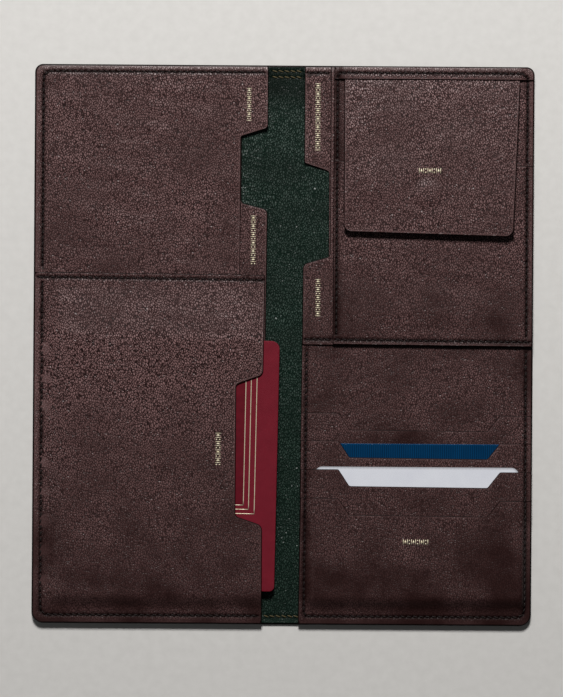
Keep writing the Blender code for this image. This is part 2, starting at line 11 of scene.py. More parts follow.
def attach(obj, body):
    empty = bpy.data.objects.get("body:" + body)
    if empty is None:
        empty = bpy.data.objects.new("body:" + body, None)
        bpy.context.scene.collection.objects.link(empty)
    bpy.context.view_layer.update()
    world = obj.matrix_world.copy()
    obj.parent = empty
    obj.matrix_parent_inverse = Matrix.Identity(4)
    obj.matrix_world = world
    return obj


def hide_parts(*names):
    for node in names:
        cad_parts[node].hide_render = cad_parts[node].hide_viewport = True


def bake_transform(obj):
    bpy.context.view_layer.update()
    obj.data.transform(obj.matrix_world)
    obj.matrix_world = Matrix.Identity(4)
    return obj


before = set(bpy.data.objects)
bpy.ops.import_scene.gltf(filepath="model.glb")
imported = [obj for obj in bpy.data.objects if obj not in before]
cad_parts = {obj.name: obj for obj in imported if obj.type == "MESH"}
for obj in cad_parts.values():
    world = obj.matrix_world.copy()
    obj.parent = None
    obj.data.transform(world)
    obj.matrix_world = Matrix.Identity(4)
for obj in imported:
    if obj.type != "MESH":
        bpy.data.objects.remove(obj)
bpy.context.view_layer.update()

# Sizes here are in millimetres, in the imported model's frame: +X to the right half, +Y to the top edge,
# +Z up from the table. Meshes are scaled to metres when they are made.
MM = 0.001
CM_PER_MM = 0.1

# Outline of the open organizer
COVER_X = 105.0
COVER_Y = 117.5
PANEL_X = 104.6
PANEL_Y = 117.1
LINING_X = 104.4
LINING_Y = 116.9
TOP_RADIUS = 3.4
BOTTOM_RADIUS = 5.0
RIM_RADIUS = 4.0

# Outer corners of the panels, as (x, y, radius)
TOP_LEFT = (-PANEL_X, PANEL_Y, TOP_RADIUS - 0.4)
TOP_RIGHT = (PANEL_X, PANEL_Y, TOP_RADIUS - 0.4)
BOTTOM_LEFT = (-PANEL_X, -PANEL_Y, BOTTOM_RADIUS - 0.4)
BOTTOM_RIGHT = (PANEL_X, -PANEL_Y, BOTTOM_RADIUS - 0.4)

# Where the soft spine starts to bend, on each side of the fold
SPINE_BEND = 6.8

# Heights of the undersides of the layers, and thicknesses
COVER_THICKNESS = 1.0
LINING_ON_BOARD = 1.6
LINING_ON_SPINE = 1.1
REAR_PANEL_Z = 2.0
TICKET_Z = 2.5
PASSPORT_Z = 3.0
BOOKLET_Z = 3.02
BOOKLET_TOP_Z = 5.42
BANK_Z = 2.9
BACKING_Z = 2.5
POUCH_BACK_Z = 3.5
POUCH_FRONT_Z = 3.95
BAND_Z = 4.6
THIN_LEATHER = 0.3
PANEL_LEATHER = 0.4
BAND_LEATHER = 0.45
FRONT_LEATHER = 0.5

# Border seams run this far in from the edges
SEAM_LEFT_X = -101.2
SEAM_RIGHT_X = 101.9
SEAM_TOP_Y = 114.4
SEAM_BOTTOM_Y = -113.7
SEAM_RADIUS = 3.0
PITCH = 2.6
HOLE_RADIUS = 0.54
HOLE_DEPTH = 0.3
THREAD_RADIUS = 0.33
GROOVE_ROWS = (-1.5, -1.0, -0.68, 0.68, 1.0, 1.5)
# Width of the painted shade along the seams.
SEAM_SHADE_WIDTH = 0.8

# Mesh points along the edge of a sheet, and rows of points inside it
RING_STEP = 0.8
EDGE_ROWS = (0.45, 1.1)

# Press stud of the coin flap
SNAP_X = 60.0
SNAP_Y = 63.8

# Cards in their slots
SLOT_TOPS = (-28.3, -39.9, -51.9, -63.9)
NOTCH_DEPTH = 7.0
CARD_LEFT_X = 13.6
CARD_RIGHT_X = 99.2
CARD_HEIGHT = 53.98
CARD_RADIUS = 3.18
BLUE_TOP_Y = -41.1
WHITE_TOP_Y = -50.8
BLUE_CARD_Z = 3.32
WHITE_CARD_Z = 4.62
CARD_THICKNESS = 0.76
CARD_ROLL = 0.1


# --- shapes of curves and heights

def smooth(value, low, high):
    """Soft step from 0 at low to 1 at high."""
    t = np.clip((value - low) / (high - low), 0.0, 1.0)
    return t * t * (3.0 - 2.0 * t)


def bell(distance, width):
    return np.exp(-(distance / width) ** 2)


def flat(x, y):
    return np.zeros_like(x)


def level_at(height, x, y):
    """Height of a surface at one place, as a plain number."""
    return float(height(np.array([x]), np.array([y]))[0])


def waves(x, y, length, seed):
    """Gentle irregular waves between about -1 and 1, of the given wavelength."""
    dice = random.Random(seed)
    total = np.zeros_like(x)
    count = 7
    for _ in range(count):
        heading = dice.uniform(0.0, math.tau)
        stretch = length * dice.uniform(0.7, 1.6)
        phase = dice.uniform(0.0, math.tau)
        along = x * math.cos(heading) + y * math.sin(heading)
        total += np.sin(along * math.tau / stretch + phase)
    return total / math.sqrt(count * 2.0)


def corner_arc(before, corner, after, radius):
    """Points of a rounded corner: the arc that touches both sides of the corner."""
    here = Vector(corner)
    back = (Vector(before) - here).normalized()
    ahead = (Vector(after) - here).normalized()
    half_angle = back.angle(ahead) / 2.0
    touch = radius / math.tan(half_angle)
    centre = here + (back + ahead).normalized() * (radius / math.sin(half_angle))
    start = here + back * touch - centre
    turn = math.pi - 2.0 * half_angle
    if back.x * ahead.y - back.y * ahead.x > 0.0:
        turn = -turn
    steps = max(3, int(abs(turn) * radius / 0.5) + 2)
    points = []
    for step in range(steps + 1):
        angle = turn * step / steps
        x = start.x * math.cos(angle) - start.y * math.sin(angle)
        y = start.x * math.sin(angle) + start.y * math.cos(angle)
        points.append((centre.x + x, centre.y + y))
    return points


def box_corners(left, bottom, right, top, *radii):
    """Corners of a rectangle from its lower left one on, with their radii."""
    places = ((left, bottom), (right, bottom), (right, top), (left, top))
    return [(x, y, radius) for (x, y), radius in zip(places, radii)]


def rounded_outline(corners):
    """Closed counter-clockwise outline from (x, y, radius) corners."""
    points = []
    for index, (x, y, radius) in enumerate(corners):
        after = corners[(index + 1) % len(corners)]
        if radius > 0.0:
            points.extend(corner_arc(corners[index - 1][:2], (x, y), after[:2], radius))
        else:
            points.append((x, y))
    area = 0.0
    for (ax, ay), (bx, by) in zip(points, points[1:] + points[:1]):
        area += ax * by - bx * ay
    if area < 0.0:
        points.reverse()
    return points


def rounded_route(corners):
    """Open route from (x, y, radius) corners; the ends need no radius."""
    points = [corners[0][:2]]
    for before, (x, y, radius), after in zip(corners, corners[1:], corners[2:]):
        points.extend(corner_arc(before[:2], (x, y), after[:2], radius))
    points.append(corners[-1][:2])
    return points


def densified(points, step, closed=True):
    """The same line with extra points, so that none are further apart than the step."""
    result = []
    ends = points[1:] + points[:1] if closed else points[1:]
    for (ax, ay), (bx, by) in zip(points, ends):
        pieces = max(1, math.ceil(math.dist((ax, ay), (bx, by)) / step))
        for index in range(pieces):
            t = index / pieces
            result.append((ax + (bx - ax) * t, ay + (by - ay) * t))
    if not closed:
        result.append(points[-1])
    return result


def inward_normals(ring):
    """Unit-depth inward offsets of a counter-clockwise ring, with the mitre at its corners."""
    ahead = np.roll(ring, -1, axis=0) - ring
    ahead /= np.linalg.norm(ahead, axis=1)[:, None]
    left = np.stack([-ahead[:, 1], ahead[:, 0]], axis=1)
    mean = left + np.roll(left, 1, axis=0)
    mean /= np.linalg.norm(mean, axis=1)[:, None]
    mitre = np.clip(np.sum(mean * left, axis=1), 0.5, 1.0)
    return mean / mitre[:, None]


def line_distance(x, y, points):
    """Distance from each (x, y) to a line of points."""
    best = np.full(x.shape, 1.0e6)
    for (ax, ay), (bx, by) in zip(points, points[1:]):
        dx = bx - ax
        dy = by - ay
        length_squared = dx * dx + dy * dy + 1.0e-12
        t = np.clip(((x - ax) * dx + (y - ay) * dy) / length_squared, 0.0, 1.0)
        best = np.minimum(best, np.hypot(x - ax - t * dx, y - ay - t * dy))
    return best


def within(x, y, outline):
    """Whether each (x, y) lies inside a closed outline."""
    inside = np.zeros(x.shape, dtype=bool)
    for (ax, ay), (bx, by) in zip(outline, outline[1:] + outline[:1]):
        crosses = (ay > y) != (by > y)
        height = by - ay if by != ay else 1.0e-12
        inside ^= crosses & (x < (bx - ax) * (y - ay) / height + ax)
    return inside


def outline_depth(x, y, outline):
    """How far each (x, y) lies inside a closed outline; negative outside."""
    distance = line_distance(x, y, outline + outline[:1])
    return np.where(within(x, y, outline), distance, -distance)


def rim_depth(x, y):
    """Depth inside the rounded rectangle of the panels' outer edges."""
    over_x = np.abs(x) - (PANEL_X - RIM_RADIUS)
    over_y = np.abs(y) - (PANEL_Y - RIM_RADIUS)
    outside = np.hypot(np.maximum(over_x, 0.0), np.maximum(over_y, 0.0))
    return RIM_RADIUS - outside - np.minimum(np.maximum(over_x, over_y), 0.0)


def rim_drop(x, y):
    """The layers are pressed together at the outer rim."""
    return -0.5 * (1.0 - smooth(rim_depth(x, y), 0.0, 2.6))


def drape(x, y):
    """Slow waves of the panels, none at the rim and the spine."""
    free = smooth(rim_depth(x, y), 3.0, 12.0) * smooth(np.abs(x), 8.0, 26.0)
    return 0.16 * free * (1.0 + waves(x, y, 34.0, 5) * 0.7) + 0.14 * free * waves(x, y, 13.0, 8)


def grain_and_painted_light(x, y):
    """Grain amount and painted light: most at the top, least at the lower edge."""
    # Painted light: lighter towards the top and darker towards the lower edge, as the key light falls from
    # the top; a painted lighter patch over the passport pocket below its top, and lighter above its hem.
    left = -0.02 + 0.50 * smooth(y, -114.0, -10.0) + 0.16 * smooth(y, 30.0, 100.0)
    left += 0.34 * smooth(y, 5.2, 3.8) * smooth(y, -60.0, 2.0) + 0.14 * smooth(y, 30.0, 27.0)
    right = -0.14 + 0.42 * smooth(y, -116.0, -70.0) + 0.38 * smooth(y, -20.0, 90.0)
    # Darker along the pouch's left seam, and painted shade on the strip at the pouch back's left edge above
    # the pouch front.
    right -= 0.30 * bell(x - 22.6, 1.9) * smooth(y, 1.0, 4.0)
    right -= 0.30 * smooth(x, 20.2, 20.9) * smooth(x, 26.0, 25.2) * smooth(y, 70.0, 77.0)
    slow = 0.12 * waves(x, y, 46.0, 3) + 0.05 * waves(x, y, 17.0, 4)
    return np.clip(np.where(x < 0.0, left, right) + slow, 0.0, 1.0)


def lining_grain_and_painted_shade(x, y):
    """Grain amount of the lining with painted shade: darkest under the hem at the top, and darker towards the
    lower edge.
    """
    middle = 0.56 - 0.68 * smooth(y, 98.0, 112.0) - 0.10 * smooth(y, -60.0, -116.0)
    return np.clip(middle + 0.12 * waves(x, y, 26.0, 6), 0.0, 1.0)


# --- meshes

def new_mesh_object(name, vertices, faces, uv, detail=None):
    """Smooth-shaded object from millimetre vertices, with UVs in centimetres and (edge mask, painted seam
    shade, grain amount with painted light).
    """
    mesh = bpy.data.meshes.new(name)
    mesh.from_pydata((np.asarray(vertices) * MM).tolist(), [], faces)
    mesh.polygons.foreach_set("use_smooth", [True] * len(mesh.polygons))
    corner_vertices = np.empty(len(mesh.loops), dtype=np.int32)
    mesh.loops.foreach_get("vertex_index", corner_vertices)
    layer = mesh.uv_layers.new(name="UVMap")
    layer.data.foreach_set("uv", np.asarray(uv, dtype=np.float32)[corner_vertices].ravel())
    colours = np.zeros((len(vertices), 4), dtype=np.float32)
    colours[:, 3] = 1.0
    if detail is not None:
        colours[:, :3] = detail
    attribute = mesh.color_attributes.new("detail", "FLOAT_COLOR", "POINT")
    attribute.data.foreach_set("color", colours.ravel())
    mesh.validate()
    mesh.update()
    piece = bpy.data.objects.new(name, mesh)
    bpy.context.scene.collection.objects.link(piece)
    return piece


def cut_uv(name, x, y):
    """Each piece is cut from its own place in the hide, so its grain starts somewhere else."""
    dice = random.Random(zlib.crc32(name.encode()))
    turn = dice.uniform(-0.25, 0.25)
    shift_x = dice.uniform(0.0, 60.0)
    shift_y = dice.uniform(0.0, 60.0)
    u = (x * math.cos(turn) - y * math.sin(turn)) * CM_PER_MM + shift_x
    v = (x * math.sin(turn) + y * math.cos(turn)) * CM_PER_MM + shift_y
    return np.stack([u, v], axis=1)


def edge_profile(thickness, roll):
    """(inset, height) steps of a sheet's edge, from the underside up to the face."""
    low = min(roll * 0.5, thickness * 0.3)
    high = min(roll, thickness * 0.62)
    steps = [(low, 0.0), (low * 0.3, low * 0.3), (0.0, low)]
    for angle in (0.0, 30.0, 60.0, 90.0):
        a = math.radians(angle)
        steps.append((roll * (1.0 - math.cos(a)), thickness - high + high * math.sin(a)))
    return steps


def edge_walls(outline, profile):
    """Rings of points up the edge of a sheet, and the faces between them."""
    ring = np.array(densified(outline, RING_STEP))
    normals = inward_normals(ring)
    count = len(ring)
    rings = [ring + normals * inset for inset, _ in profile]
    faces = []
    for low in range(0, (len(profile) - 1) * count, count):
        for index in range(count):
            after = (index + 1) % count
            faces.append((low + index, low + after, low + count + after, low + count + index))
    return rings, faces


def hole_places(points):
    """Needle holes at an even pitch along a route."""
    lengths = [math.dist(a, b) for a, b in zip(points, points[1:])]
    total = sum(lengths)
    count = max(2, round(total / PITCH))
    places = []
    segment = 0
    walked = 0.0
    for index in range(count + 1):
        target = total * index / count
        while segment < len(lengths) - 1 and walked + lengths[segment] < target:
            walked += lengths[segment]
            segment += 1
        t = (target - walked) / lengths[segment]
        (ax, ay), (bx, by) = points[segment], points[segment + 1]
        places.append((ax + (bx - ax) * t, ay + (by - ay) * t))
    return places


def seam_feature_points(route):
    """Mesh points that carry a seam's groove and its needle holes."""
    line = np.array(densified(route, 0.65, closed=False))
    ahead = np.gradient(line, axis=0)
    ahead /= np.linalg.norm(ahead, axis=1)[:, None]
    left = np.stack([-ahead[:, 1], ahead[:, 0]], axis=1)
    points = []
    for offset in GROOVE_ROWS:
        points.extend(map(tuple, line + left * offset))
    holes = hole_places(route)
    for hx, hy in holes:
        points.append((hx, hy))
        for radius, start in ((HOLE_RADIUS * 0.6, 0.0), (HOLE_RADIUS, 0.5)):
            for step in range(6):
                angle = (step + start) * math.tau / 6.0
                points.append((hx + radius * math.cos(angle), hy + radius * math.sin(angle)))
    for (ax, ay), (bx, by) in zip(holes, holes[1:]):
        for t in (0.3, 0.5, 0.7):
            points.append((ax + (bx - ax) * t, ay + (by - ay) * t))
    return points


def needle_dent(x, y, routes):
    """Depth of the needle holes."""
    depth = np.zeros_like(x)
    for route in routes:
        near = np.nonzero(line_distance(x, y, route) < HOLE_RADIUS * 2.0)[0]
        if len(near) > 0:
            holes = np.array(hole_places(route))
            gap = np.hypot(x[near, None] - holes[None, :, 0], y[near, None] - holes[None, :, 1]).min(axis=1)
            dent = HOLE_DEPTH * (1.0 - smooth(gap, 0.08, HOLE_RADIUS))
            depth[near] = np.maximum(depth[near], dent)
    return depth


def groove(x, y, routes, depth=0.24):
    """Leather pulled down along the seams, with a slight swell beside them."""
    change = np.zeros_like(x)
    for route in routes:
        distance = line_distance(x, y, route)
        change += depth * (0.25 * bell(distance - 1.9, 0.9) - bell(distance, 0.75))
    return change


def scattered_grid(outline, spacing, margin, name, seams=(), clear=0.0):
    """Slightly irregular triangular grid inside an outline, away from its edge and from seams."""
    low_x, low_y = np.min(outline, axis=0)
    high_x, high_y = np.max(outline, axis=0)
    rows = np.arange(low_y, high_y, spacing * 0.866)
    x, y = np.meshgrid(np.arange(low_x, high_x, spacing), rows)
    x = x + (np.arange(len(rows)) % 2)[:, None] * spacing * 0.5
    dice = np.random.default_rng(zlib.crc32(name.encode()))
    x = (x + dice.uniform(-0.12, 0.12, x.shape) * spacing).ravel()
    y = (y + dice.uniform(-0.12, 0.12, y.shape) * spacing).ravel()
    keep = outline_depth(x, y, outline) > margin
    x, y = x[keep], y[keep]
    for route in seams:
        keep = line_distance(x, y, route) > clear
        x, y = x[keep], y[keep]
    return list(zip(x.tolist(), y.tolist()))


def filled(ring, extra):
    """Triangles that fill a ring of points and pass through the extra points."""
    count = len(ring)
    places = [Vector(point) for point in ring + extra]
    edges = [(index, (index + 1) % count) for index in range(count)]
    points, _, faces, originals, _, _ = geometry.delaunay_2d_cdt(places, edges, [], 1, 1.0e-6, True)
    source = [min(group) if group else -1 for group in originals]
    triangles = []
    spans = []
    for face in faces:
        corners = [source[corner] for corner in face]
        if -1 in corners or len(set(corners)) < 3:
            continue
        a, b, c = (places[corner] for corner in corners)
        if (b.x - a.x) * (c.y - a.y) - (b.y - a.y) * (c.x - a.x) < 0.0:
            corners.reverse()
        (triangles if max(corners) >= count else spans).append(tuple(corners))
    if spans:
        middles = np.array([[sum(places[c][axis] for c in span) / 3.0 for axis in (0, 1)] for span in spans])
        triangles.extend(compress(spans, within(middles[:, 0], middles[:, 1], ring)))
    return triangles


def cap(rings, row, extra, start):
    """Upward faces that close one ring and pass through extra points, which are numbered from start."""
    count = len(rings[row])
    return [tuple(row * count + corner if corner < count else start + corner - count for corner in triangle)
            for triangle in filled(list(map(tuple, rings[row])), extra)]


def sheet_points(outline, inner, spacing, seams, name):
    """Interior points of a face: rows along the edge, seam points and a scattered grid."""
    ring = np.array(densified(outline, RING_STEP))
    normals = inward_normals(ring)
    points = []
    for row, gap in enumerate(EDGE_ROWS):
        shifted = ring[row::2] + normals[row::2] * (inner + gap)
        depth = outline_depth(shifted[:, 0], shifted[:, 1], outline)
        points.extend(map(tuple, shifted[depth > inner + gap * 0.9]))
    for route in seams:
        points = list(compress(points, line_distance(*np.array(points).T, route) > 1.6))
    for route in seams:
        marks = seam_feature_points(route)
        points.extend(compress(marks, outline_depth(*np.array(marks).T, outline) > inner + 0.15))
    margin = inner + EDGE_ROWS[-1] + spacing * 0.6
    points.extend(scattered_grid(outline, spacing, margin, name, seams, 1.5 + spacing * 0.5))
    return points


def pressed_edge(x, y, outline, paint_width):
    """1 on the painted cut edge, whose near-black colour is edge paint with painted shade of the gaps, about
    0.3 where the leather is pressed smooth beside it, 0 elsewhere.
    """
    depth = outline_depth(x, y, outline)
    rim = rim_depth(x, y)
    smooth_band = np.maximum(0.4 - 0.4 * smooth(depth, 0.3, 1.0), 0.5 - 0.5 * smooth(rim, 1.6, 2.8))
    paint = 1.0 - np.minimum(smooth(depth, paint_width, paint_width + 0.35), smooth(rim, 0.5, 0.95))
    return 0.6 * smooth_band + 0.4 * paint


def leather_sheet(name, corners, low, thickness, rise=flat, dent=flat, seams=(), under_seams=(),
                  roll=0.22, spacing=1.3, under_spacing=7.0, paint_width=0.35, grain_and_light_map=grain_and_painted_light,
                  seam_depth=0.24, grain_x=None):
    """Sheet of leather with rolled edges, sewn grooves and needle holes.

    rise lifts both faces; dent changes the upper face only; grain_x packs the grain closer in places.
    Returns the object and its face height.
    """
    outline = rounded_outline(corners)
    profile = edge_profile(thickness, roll)
    places, faces = edge_walls(outline, profile)
    rings = list(places)

    def face_height(x, y):
        return low + thickness + rise(x, y) + dent(x, y) + groove(x, y, seams, seam_depth)

    heights = []
    for (_, height), (x, y) in zip(profile, (ring.T for ring in rings)):
        sunk = (dent(x, y) + groove(x, y, seams, seam_depth)) * (height / thickness)
        heights.append(low + height + rise(x, y) + sunk)
    start = sum(map(len, rings))
    edge_masks = [np.ones(start)]

    extra = sheet_points(outline, profile[-1][0], spacing, seams, name)
    faces.extend(cap(rings, len(rings) - 1, extra, start))
    places.append(np.array(extra).reshape(-1, 2))
    x, y = places[-1].T
    heights.append(face_height(x, y) - needle_dent(x, y, seams))
    edge_masks.append(pressed_edge(x, y, outline, paint_width))

    start += len(extra)
    if under_seams:
        extra = sheet_points(outline, profile[0][0], under_spacing, under_seams, name + "_under")
    else:
        extra = scattered_grid(outline, under_spacing, under_spacing * 0.6, name)
    faces.extend(face[::-1] for face in cap(rings, 0, extra, start))
    places.append(np.array(extra).reshape(-1, 2))
    x, y = places[-1].T
    sunk = groove(x, y, under_seams) - needle_dent(x, y, under_seams)
    heights.append(low + rise(x, y) - sunk)
    edge_masks.append(pressed_edge(x, y, outline, paint_width))

    x, y = np.concatenate(places).T
    vertices = np.column_stack([x, y, np.concatenate(heights)])
    # Painted shade along the seams, for their groove and needle holes; the third channel is the grain amount
    # with painted light.
    seam_shade = np.zeros(len(vertices))
    for route in (*seams, *under_seams):
        seam_shade = np.maximum(seam_shade, bell(line_distance(x, y, route), SEAM_SHADE_WIDTH))
    detail = np.column_stack([np.concatenate(edge_masks), seam_shade, grain_and_light_map(x, y)])
    uv = cut_uv(name, x if grain_x is None else grain_x(x), y)
    return new_mesh_object(name, vertices, faces, uv, detail), face_height


def stitch_row(name, routes, height, side=1):
    """Lockstitches along routes as one mesh; side is -1 on an underside."""
    vertices = []
    faces = []
    uv = []
    sides = 7
    steps = 8
    dice = random.Random(zlib.crc32(name.encode()))
    for route in routes:
        holes = hole_places(route)
        for (ax, ay), (bx, by) in zip(holes, holes[1:]):
            length = math.dist((ax, ay), (bx, by))
            tx, ty = (bx - ax) / length, (by - ay) / length
            nx, ny = -ty, tx
            slant = 0.34 + dice.uniform(-0.06, 0.06)
            lift = dice.uniform(-0.02, 0.03)
            start = len(vertices)
            for step in range(steps + 1):
                t = step / steps
                along = length * (0.07 + 0.86 * t)
                across = slant * (1.0 - 2.0 * t)
                arch = math.sin(math.pi * t) ** 0.55
                radius = THREAD_RADIUS * (0.55 + 0.45 * arch)
                cx = ax + tx * along + nx * across
                cy = ay + ty * along + ny * across
                cz = level_at(height, cx, cy) + side * (-0.22 + (0.34 + lift) * arch)
                for corner in range(sides):
                    angle = corner * math.tau / sides
                    out = radius * math.cos(angle)
                    vertices.append((cx + nx * out, cy + ny * out, cz + radius * math.sin(angle)))
                    uv.append((along * CM_PER_MM, corner / sides * 0.16))
            last = start + steps * sides
            for a in range(start, last, sides):
                b = a + sides
                for corner in range(sides):
                    after = (corner + 1) % sides
                    faces.append((a + corner, a + after, b + after, b + corner))
            faces.append(tuple(start + corner for corner in reversed(range(sides))))
            faces.append(tuple(last + corner for corner in range(sides)))
    return new_mesh_object(name, vertices, faces, uv)


def turned(name, profile, low, steps=64):
    """Piece turned about the press stud's axis, from (radius, height) points."""
    vertices = []
    uv = []
    rows = []
    for radius, height in profile:
        count = steps if radius > 0.0 else 1
        rows.append(list(range(len(vertices), len(vertices) + count)))
        for step in range(count):
            angle = step * math.tau / steps
            x = radius * math.cos(angle)
            y = radius * math.sin(angle)
            vertices.append((SNAP_X + x, SNAP_Y + y, low + height))
            uv.append((x * CM_PER_MM, y * CM_PER_MM))
    pairs = list(zip(rows, rows[1:]))
    if profile[0][0] > 0.0:
        pairs.append((rows[-1], rows[0]))
    faces = []
    for lower, upper in pairs:
        for step in range(steps):
            after = (step + 1) % steps
            if len(lower) == 1:
                faces.append((lower[0], upper[after], upper[step]))
            elif len(upper) == 1:
                faces.append((lower[step], lower[after], upper[0]))
            else:
                faces.append((lower[step], lower[after], upper[after], upper[step]))
    return new_mesh_object(name, vertices, faces, uv)


# --- materials

def rgba(colour):
    """Colour with full opacity; a plain number stands for a grey."""
    return (*colour, 1.0) if isinstance(colour, tuple) else (colour, colour, colour, 1.0)


class Nodes:
    """Short way to add and join the nodes of one material; each step gives its output socket."""

    def __init__(self, name):
        self.material = bpy.data.materials.new(name)
        self.material.use_nodes = True
        self.tree = self.material.node_tree

    def put(self, node, key, value):
        """Join a socket to one of a node's inputs, or set the input's value."""
        if isinstance(value, bpy.types.NodeSocket):
            self.tree.links.new(value, node.inputs[key])
        else:
            node.inputs[key].default_value = value

    def put_all(self, node, values):
        for key, value in values.items():
            self.put(node, key.replace("_", " "), value)

    def add(self, kind, output, settings=None, **values):
        added = self.tree.nodes.new(kind)
        for key, value in (settings or {}).items():
            setattr(added, key, value)
        self.put_all(added, values)
        return added.outputs[output]

    def uv(self, scale=(1.0, 1.0, 1.0), turn=0.0):
        place = self.add("ShaderNodeUVMap", "UV")
        return self.add("ShaderNodeMapping", "Vector", Vector=place, Scale=scale, Rotation=(0.0, 0.0, turn))

    def noise(self, vector, scale, detail=3.0, roughness=0.55, distortion=0.0, output="Fac"):
        return self.add("ShaderNodeTexNoise", output, Vector=vector, Scale=scale, Detail=detail,
                        Roughness=roughness, Distortion=distortion)

    def wave(self, vector, direction, output, **values):
        settings = {"bands_direction": direction}
        return self.add("ShaderNodeTexWave", output, settings, Vector=vector, Scale=9.0, **values)

    def ramp(self, source, *stops):
        """Colour between (position, colour) stops."""
        result = self.add("ShaderNodeValToRGB", "Color", Fac=source)
        elements = result.node.color_ramp.elements
        while len(elements) < len(stops):
            elements.new(0.5)
        for element, (position, colour) in zip(elements, stops):
            element.position = position
            element.color = rgba(colour)
        return result

    def math(self, operation, *values):
        result = self.add("ShaderNodeMath", "Value", {"operation": operation})
        for index, value in enumerate(values):
            self.put(result.node, index, value)
        return result

    def vector_math(self, operation, first, second, key=1):
        result = self.add("ShaderNodeVectorMath", "Vector", {"operation": operation})
        self.put(result.node, 0, first)
        self.put(result.node, key, second)
        return result

    def mix(self, factor, first, second, blend="MIX"):
        result = self.add("ShaderNodeMix", "Result", {"data_type": "RGBA", "blend_type": blend})
        self.put(result.node, 0, factor)
        for index, value in ((6, first), (7, second)):
            self.put(result.node, index, value if isinstance(value, bpy.types.NodeSocket) else rgba(value))
        return result

    def bump(self, source, distance, strength=1.0, **after):
        return self.add("ShaderNodeBump", "Normal", Height=source, Strength=strength, Distance=distance,
                        **after)

    def detail(self):
        """The mesh's edge mask, painted seam shade, and grain amount with painted light."""
        colour = self.add("ShaderNodeVertexColor", "Color", {"layer_name": "detail"})
        return self.add("ShaderNodeSeparateColor", "Red", Color=colour).node.outputs[:3]

    def surface(self, **values):
        """Set and join the inputs of the surface, and give the finished material."""
        self.put_all(self.tree.nodes["Principled BSDF"], values)
        return self.material


def grained_leather(name, deep, face, edge, cell, grain_depth, crease_depth, gloss):
    """Pebbled leather: pebbles with dark valleys, creases that come and go, slow colour changes.

    cell is the number of pebbles in a centimetre; the depths are in metres. The colour attribute "detail"
    holds the edge mask, the painted shade along the seams, and the grain amount that also carries painted
    light.
    """
    n = Nodes(name)
    place = n.uv()
    wear, seam_shade_mask, grain_and_light = n.detail()
    warp = n.vector_math("SCALE", n.noise(place, 1.2, 2.0, output="Color"), 0.22, "Scale")
    bent = n.vector_math("ADD", n.uv((1.0, 0.6, 1.0), 0.6), warp)
    settings = {"feature": "DISTANCE_TO_EDGE"}
    cells = n.add("ShaderNodeTexVoronoi", "Distance", settings, Vector=bent, Scale=cell)
    pebbles = n.ramp(cells, (0.0, 0.0), (0.06, 0.04), (0.19, 1.0))

    ways = [n.noise(n.uv(scale, turn), 2.3, 2.0, 0.5, 0.5, "Color")
            for scale, turn in (((1.0, 3.4, 1.0), 0.75), ((3.0, 1.0, 1.0), 0.35))]
    wrinkles = n.mix(n.ramp(n.noise(place, 0.35, 1.0), (0.45, 0.0), (0.55, 1.0)), *ways)
    patch = n.math("MULTIPLY_ADD", n.noise(place, 0.45, 2.0), 1.1, -0.46)
    grain_and_light_map = n.math("ADD", patch, grain_and_light)
    amount = n.ramp(grain_and_light_map, (0.0, 0.25), (0.5, 0.75), (1.0, 1.0))
    crease_place = n.ramp(n.noise(place, 0.55, 2.0), (0.38, 0.15), (0.62, 1.0))
    creases = n.mix(n.math("MULTIPLY", crease_place, amount), 0.5, wrinkles)
    grain = n.mix(amount, 0.5, pebbles)
    calm = n.mix(n.math("MULTIPLY", wear, 1.2), grain, 0.6)
    relief = n.mix(1.0, calm, n.ramp(creases, (0.32, 0.86), (0.60, 1.0)), "MULTIPLY")
    normal = n.bump(creases, crease_depth, Normal=n.bump(calm, grain_depth))

    # Painted light: the colour is multiplied darker and redder where the map is low, and lighter and greyer,
    # a painted sheen, where it is high.
    painted_light_factor = n.ramp(grain_and_light_map, (0.0, (0.36, 0.30, 0.29)), (0.5, 1.0), (1.0, (1.45, 1.50, 1.51)))
    colour_with_painted_light = n.mix(1.0, n.mix(relief, deep, face), painted_light_factor, "MULTIPLY")
    # The cut edges get the near-black edge colour: edge paint, with painted shade of the gaps under the
    # edges.
    painted = n.ramp(wear, (0.70, 0.0), (0.95, 1.0))
    # Painted shade along the seams: the colour goes to half the valley colour and the specular level drops.
    seam_shade = n.math("MULTIPLY", seam_shade_mask, 0.97)
    colour = n.mix(seam_shade, n.mix(painted, colour_with_painted_light, edge), tuple(channel * 0.5 for channel in deep))

    shine = n.ramp(grain_and_light_map, (0.0, 0.42), (1.0, 0.44))
    sheen = n.mix(1.0, n.ramp(relief, (0.0, gloss * 0.15), (1.0, gloss)), amount, "MULTIPLY")
    level = n.mix(n.math("MAXIMUM", painted, seam_shade), sheen, 0.06)
    return n.surface(Base_Color=colour, Roughness=shine, Specular_IOR_Level=level, Normal=normal)


def waxed_thread(name, dark, light):
    """Two-ply twisted thread."""
    n = Nodes(name)
    place = n.uv(turn=0.6)
    ply = n.wave(place, "X", "Color", Distortion=0.6, Detail=1.0)
    fuzz = n.mix(0.35, ply, n.noise(place, 60.0, output="Color"))
    return n.surface(Base_Color=n.ramp(fuzz, (0.2, dark), (0.8, light)), Roughness=0.45,
                     Specular_IOR_Level=0.22, Normal=n.bump(fuzz, 0.00008))


def gold_foil():
    """Stamped foil that shows a little leather through its worn spots."""
    n = Nodes("gold_foil")
    wear = n.noise(n.uv(), 9.0, 4.0, 0.7)
    colour = n.ramp(wear, (0.30, (0.36, 0.28, 0.15)), (0.45, (0.80, 0.72, 0.50)), (0.75, (0.92, 0.86, 0.68)))
    return n.surface(Base_Color=colour, Roughness=n.ramp(wear, (0.3, 0.6), (0.7, 0.36)), Metallic=0.35,
                     Normal=n.bump(wear, 0.00003))


